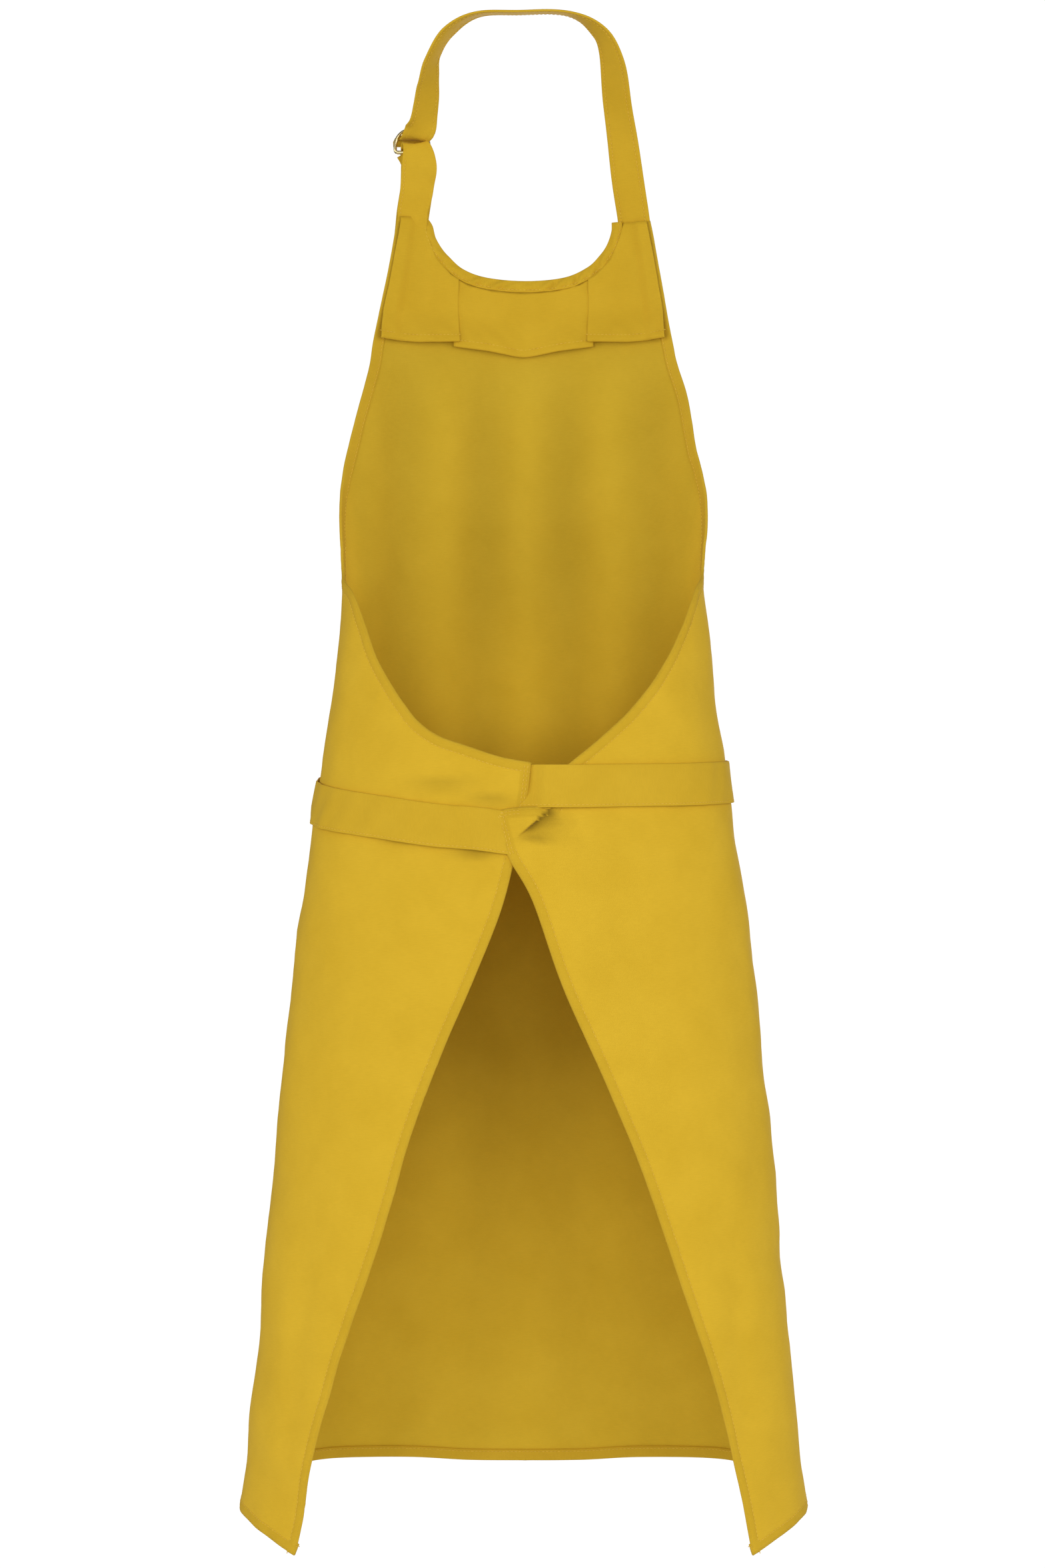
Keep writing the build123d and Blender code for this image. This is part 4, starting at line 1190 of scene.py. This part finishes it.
# %% Material helpers
def shader(name):
    """A new material, its node tree and its surface shader."""
    material = bpy.data.materials.new(name)
    material.use_nodes = True
    tree = material.node_tree
    return material, tree, tree.nodes["Principled BSDF"]


def on_object(tree):
    """Places on the piece itself, in metres."""
    return node(tree, "ShaderNodeTexCoord").outputs["Object"]


def noise(tree, place, scale, detail=2, roughness=0.5):
    """Soft noise, about `scale` waves to the metre."""
    inputs = {"Vector": place, "Scale": scale, "Detail": detail, "Roughness": roughness}
    return node(tree, "ShaderNodeTexNoise", inputs).outputs["Fac"]


def ramp(tree, share, low, high, ends=(0, 1)):
    """A colour that goes from low to high between two shares."""
    made = node(tree, "ShaderNodeValToRGB", {"Fac": share})
    for element, colour, place in zip(made.color_ramp.elements, (low, high), ends):
        element.position = place
        element.color = (*colour, 1)
    return made.outputs["Color"]


def multiplied(tree, share, colour, by):
    """A colour multiplied by another, as far as the share says."""
    inputs = {0: share, 6: colour, 7: by}
    return node(tree, "ShaderNodeMix", inputs, data_type="RGBA", blend_type="MULTIPLY").outputs[2]


def value_at(tree, name):
    """The number stored at each point under a name."""
    return node(tree, "ShaderNodeAttribute", attribute_name=name).outputs["Fac"]


print("material helpers ready")

# %% Cloth materials
SHEEN = (1, 0.86, 0.5, 1)
DYE_LOW, DYE_HIGH = (0.965, 0.955, 0.9), (1.035, 1.04, 1.12)  # factors on the tone
YARN_LOW = (0.955, 0.95, 0.93)


def cotton(name, colour, deep=0.9, hollow=0.0, where="hollow"):
    """A twill of one tone, painted deeper where it is double, and with painted shade where the named point
    value says.
    """
    material, tree, cloth = shader(name)
    flat = node(tree, "ShaderNodeUVMap", uv_map="UVMap").outputs[0]
    place = on_object(tree)
    twill = node(tree, "ShaderNodeTexWave", {"Vector": flat, "Scale": 640, "Distortion": 1.4,
                                             "Detail": 1, "Detail Scale": 1.5},
                 bands_direction="DIAGONAL")
    yarn = node(tree, "ShaderNodeMapping", {"Vector": flat, "Scale": (160, 1900, 1)})
    slub = noise(tree, yarn.outputs[0], 1)
    dye = noise(tree, place, 26, 5, 0.62)
    low, high = ([c * f for c, f in zip(colour, factors)] for factors in (DYE_LOW, DYE_HIGH))
    tone = ramp(tree, dye, low, high, (0.3, 0.7))
    tone = multiplied(tree, 1.0, tone, ramp(tree, slub, YARN_LOW, (1, 1, 1), (0.32, 0.68)))
    double = (deep, deep * 0.99, deep * 0.93, 1)
    tone = multiplied(tree, value_at(tree, "layers"), tone, double)
    shade = (1 - hollow, 1 - hollow * 1.03, 1 - hollow * 1.1, 1)
    tone = multiplied(tree, value_at(tree, where), tone, shade)
    crease = node(tree, "ShaderNodeBump", {"Strength": 0.22, "Distance": 0.0006,
                                           "Height": noise(tree, place, 130, 4)})
    weave = node(tree, "ShaderNodeBump", {"Strength": 0.35, "Distance": 0.00012,
                                          "Height": twill.outputs["Fac"], "Normal": crease.outputs[0]})
    feed(cloth, {"Base Color": tone, "Normal": weave.outputs[0], "Roughness": 0.86,
                 "Sheen Weight": 0.07, "Sheen Roughness": 0.45, "Sheen Tint": SHEEN,
                 "Specular IOR Level": 0.15})
    return material


# The hems, straps, ties and facing are painted a deeper tone than the single cloth, as shade for the light
# that one layer lets through.
FACE = (0.755, 0.475, 0.026)
BACK = (0.765, 0.506, 0.031)
DEEP_SHADED_TONE = (0.70, 0.438, 0.024)
STRAP_SHADED_TONE = (0.68, 0.426, 0.0222)
HEM_SHADED_TONE = (0.655, 0.415, 0.0245)
# The right side is painted up to 70 % darker in the wings' painted shadow, the wrong side up to 24 %
# darker in its painted shade.
face_cloth = cotton("cotton drill, right side", FACE, hollow=0.7, where="shaded")
back_cloth = cotton("cotton drill, wrong side", BACK, 0.95, 0.24)
hem_cloth = cotton("cotton drill, hems", HEM_SHADED_TONE)
facing_cloth = cotton("cotton drill, facing", STRAP_SHADED_TONE)
strap_cloth = cotton("cotton drill, straps", DEEP_SHADED_TONE)
tie_cloth = cotton("cotton drill, ties", DEEP_SHADED_TONE)
print("cloths", len(bpy.data.materials))

# %% [markdown]
# ## Thread and brass
# The thread is spun polyester, dyed to match, with lighter and darker flecks. The rings are bent
# from pale brass wire, which has worn a little unevenly, so its colour and its gloss both vary.

# %% Thread and brass
thread, nodes, spun = shader("spun polyester thread")
flecks = ramp(nodes, noise(nodes, on_object(nodes), 300), (0.70, 0.44, 0.028), (0.88, 0.59, 0.05))
feed(spun, {"Base Color": flecks, "Roughness": 0.6, "Sheen Weight": 0.05})

metal, nodes, brass = shader("pale brass wire")
wear = noise(nodes, on_object(nodes), 160, 4)
gloss = node(nodes, "ShaderNodeMapRange", {"Value": wear, "To Min": 0.16, "To Max": 0.34})
feed(brass, {"Base Color": ramp(nodes, wear, (0.80, 0.62, 0.26), (0.93, 0.79, 0.45)),
             "Roughness": gloss.outputs[0], "Metallic": 1.0})
print("materials", len(bpy.data.materials))

# %% [markdown]
# ## Sewing
# Each body's lines become one mesh of edges, and the tree puts the stitches on it. The result is
# made a plain mesh at once. All stitches of a body are then a single piece.

# %% Stitches set out
BAR_FACES = 24
stitches = {}
for number, (body, found) in enumerate(lines.items()):
    points, edges = [], []
    for line in found:
        first = len(points)
        points += line.tolist()
        edges += [(first + i, first + i + 1) for i in range(len(line) - 1)]
    mesh = bpy.data.meshes.new(body + "_stitches")
    mesh.from_pydata(points, edges, [])
    piece = bpy.data.objects.new(body + "_stitches", mesh)
    bpy.context.scene.collection.objects.link(piece)
    rows = piece.modifiers.new("rows of stitches", "NODES")
    rows.node_group = tree
    rows[sockets["Stitch length"]] = STITCH
    rows[sockets["Thread"]] = THREAD
    rows[sockets["Seed"]] = SEED + number
    rows[sockets["Material"]] = thread
    stitches[body] = finished(piece)
print("stitches", {body: len(piece.data.polygons) // BAR_FACES for body, piece in stitches.items()})

# %% [markdown]
# ## Giving each piece its finish and its body, in place of its CAD nodes
# A piece rides on a body of the model, takes the place of the CAD nodes, which are hidden, and gets its
# materials.

# %% Dressing
for material in (face_cloth, back_cloth):
    apron_cloth.data.materials.append(material)
apron_cloth = finished(apron_cloth)
print("kept values", [attribute.name for attribute in apron_cloth.data.attributes])


def dress(piece, materials, body="apron", nodes=()):
    """Gives a piece its materials and body, and hides the CAD nodes that it replaces."""
    for number, material in enumerate(materials):
        if number < len(piece.data.materials):
            piece.data.materials[number] = material
        else:
            piece.data.materials.append(material)
    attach(piece, body)
    if nodes:
        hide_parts(*nodes)


dress(apron_cloth, [face_cloth, back_cloth], "apron", ["front_panel", "left_wing", "right_wing"])
for name, piece in hems.items():
    dress(piece, [hem_cloth], "apron", [name])
for name, piece in facings.items():
    dress(piece, [facing_cloth], "apron", [name])
dress(neck_band, [facing_cloth], "apron", ["neck_band"])
dress(neck_strap, [strap_cloth], "apron", ["neck_strap"])
dress(ring_tab, [strap_cloth], "apron", ["ring_tab"])
dress(strap_tail, [strap_cloth], "strap_tail", ["strap_tail"])
dress(left_tie, [tie_cloth], "apron", ["left_tie"])
dress(right_tie, [tie_cloth], "apron", ["right_tie"])
dress(bow_knot, [tie_cloth], "apron", ["bow_knot"])
for side in ("left", "right"):
    dress(bow_loops[side], [tie_cloth], side + "_bow_loop", [side + "_bow_loop"])
    dress(tie_tails[side], [tie_cloth], side + "_tie_tail", [side + "_tie_tail"])
for name, piece in rings.items():
    dress(piece, [metal], name, [name])
for body, piece in stitches.items():
    dress(piece, [thread], body)

print("dressed")

# %% [markdown]
# ## Studio
# The apron hangs over a plain pale floor. Behind it stand two upright soft boxes, a smaller one
# between them and one at each side, so that the sides fall off gently. A wide one in front lights
# the inside of the bib. The room itself gives a little light but looks white.

# %% Floor and room
FLOOR = -1.32
FLOOR_SIZE = 1.64
ROOM_LIGHT, ROOM_SEEN = 0.23, 1.05  # how bright the room lights, and how bright it looks
WHITE = (1, 1, 1, 1)
bpy.ops.mesh.primitive_plane_add(size=FLOOR_SIZE, location=(0, 0, FLOOR))
floor = bpy.context.object
floor.name = "studio_floor"
paper, nodes, surface = shader("white paper floor")
feed(surface, {"Base Color": (0.8, 0.8, 0.8, 1), "Roughness": 0.9, "Emission Color": WHITE,
               "Emission Strength": 0.05})
floor.data.materials.append(paper)

world = bpy.data.worlds.new("white studio")
bpy.context.scene.world = world
world.use_nodes = True
sky = world.node_tree
room = feed(sky.nodes["Background"], {"Color": WHITE, "Strength": ROOM_LIGHT})
seen = node(sky, "ShaderNodeBackground", {"Color": WHITE, "Strength": ROOM_SEEN})
from_camera = node(sky, "ShaderNodeLightPath").outputs["Is Camera Ray"]
either = node(sky, "ShaderNodeMixShader", {0: from_camera, 1: room.outputs[0], 2: seen.outputs[0]})
feed(sky.nodes["World Output"], {0: either.outputs[0]})
print("floor at", FLOOR)


# %% Lights
def soft_light(name, place, size, power):
    """A soft box that points at the apron's middle; size is its width and height."""
    data = bpy.data.lights.new(name, "AREA")
    data.shape = "RECTANGLE"
    data.size, data.size_y = size
    data.energy = power
    lamp = bpy.data.objects.new(name, data)
    bpy.context.scene.collection.objects.link(lamp)
    lamp.location = place
    lamp.rotation_euler = (APRON_MIDDLE - Vector(place)).to_track_quat("-Z", "Y").to_euler()


APRON_MIDDLE = Vector((0, 0, -0.56))
for side in (-1, 1):
    soft_light("back box", (side * 1.0, -2.3, -0.05), (0.9, 1.6), 12.5)
    soft_light("side box", (side * 2.5, -1.0, -0.4), (1.2, 1.8), 19)
soft_light("middle box", (0, -2.6, -0.5), (1.0, 0.9), 12)
soft_light("front box", (0.4, 3.0, -0.3), (2.0, 1.4), 58)
print("lights", len(bpy.data.lights))

# %% [markdown]
# ## Camera
# The camera looks straight at the apron's back from a distance at which the view is just high enough
# for it. Its lens follows from that distance and that height.

# %% Camera
camera_data = bpy.data.cameras.new("back view")
camera = bpy.data.objects.new("back view", camera_data)
bpy.context.scene.collection.objects.link(camera)
CAMERA_AWAY = 2.5
VIEW_HEIGHT = 1.13885  # height of the view at the origin's depth
SENSOR = 24  # height of the sensor, in mm
camera.location = (-0.0007, -CAMERA_AWAY, -0.5597)
camera.rotation_euler = (math.pi / 2, 0, 0)
camera_data.sensor_fit = "VERTICAL"
camera_data.sensor_height = SENSOR
camera_data.lens = SENSOR * CAMERA_AWAY / VIEW_HEIGHT
bpy.context.scene.camera = camera
bpy.context.scene.view_settings.view_transform = "Standard"
print("camera lens", round(camera_data.lens, 2))
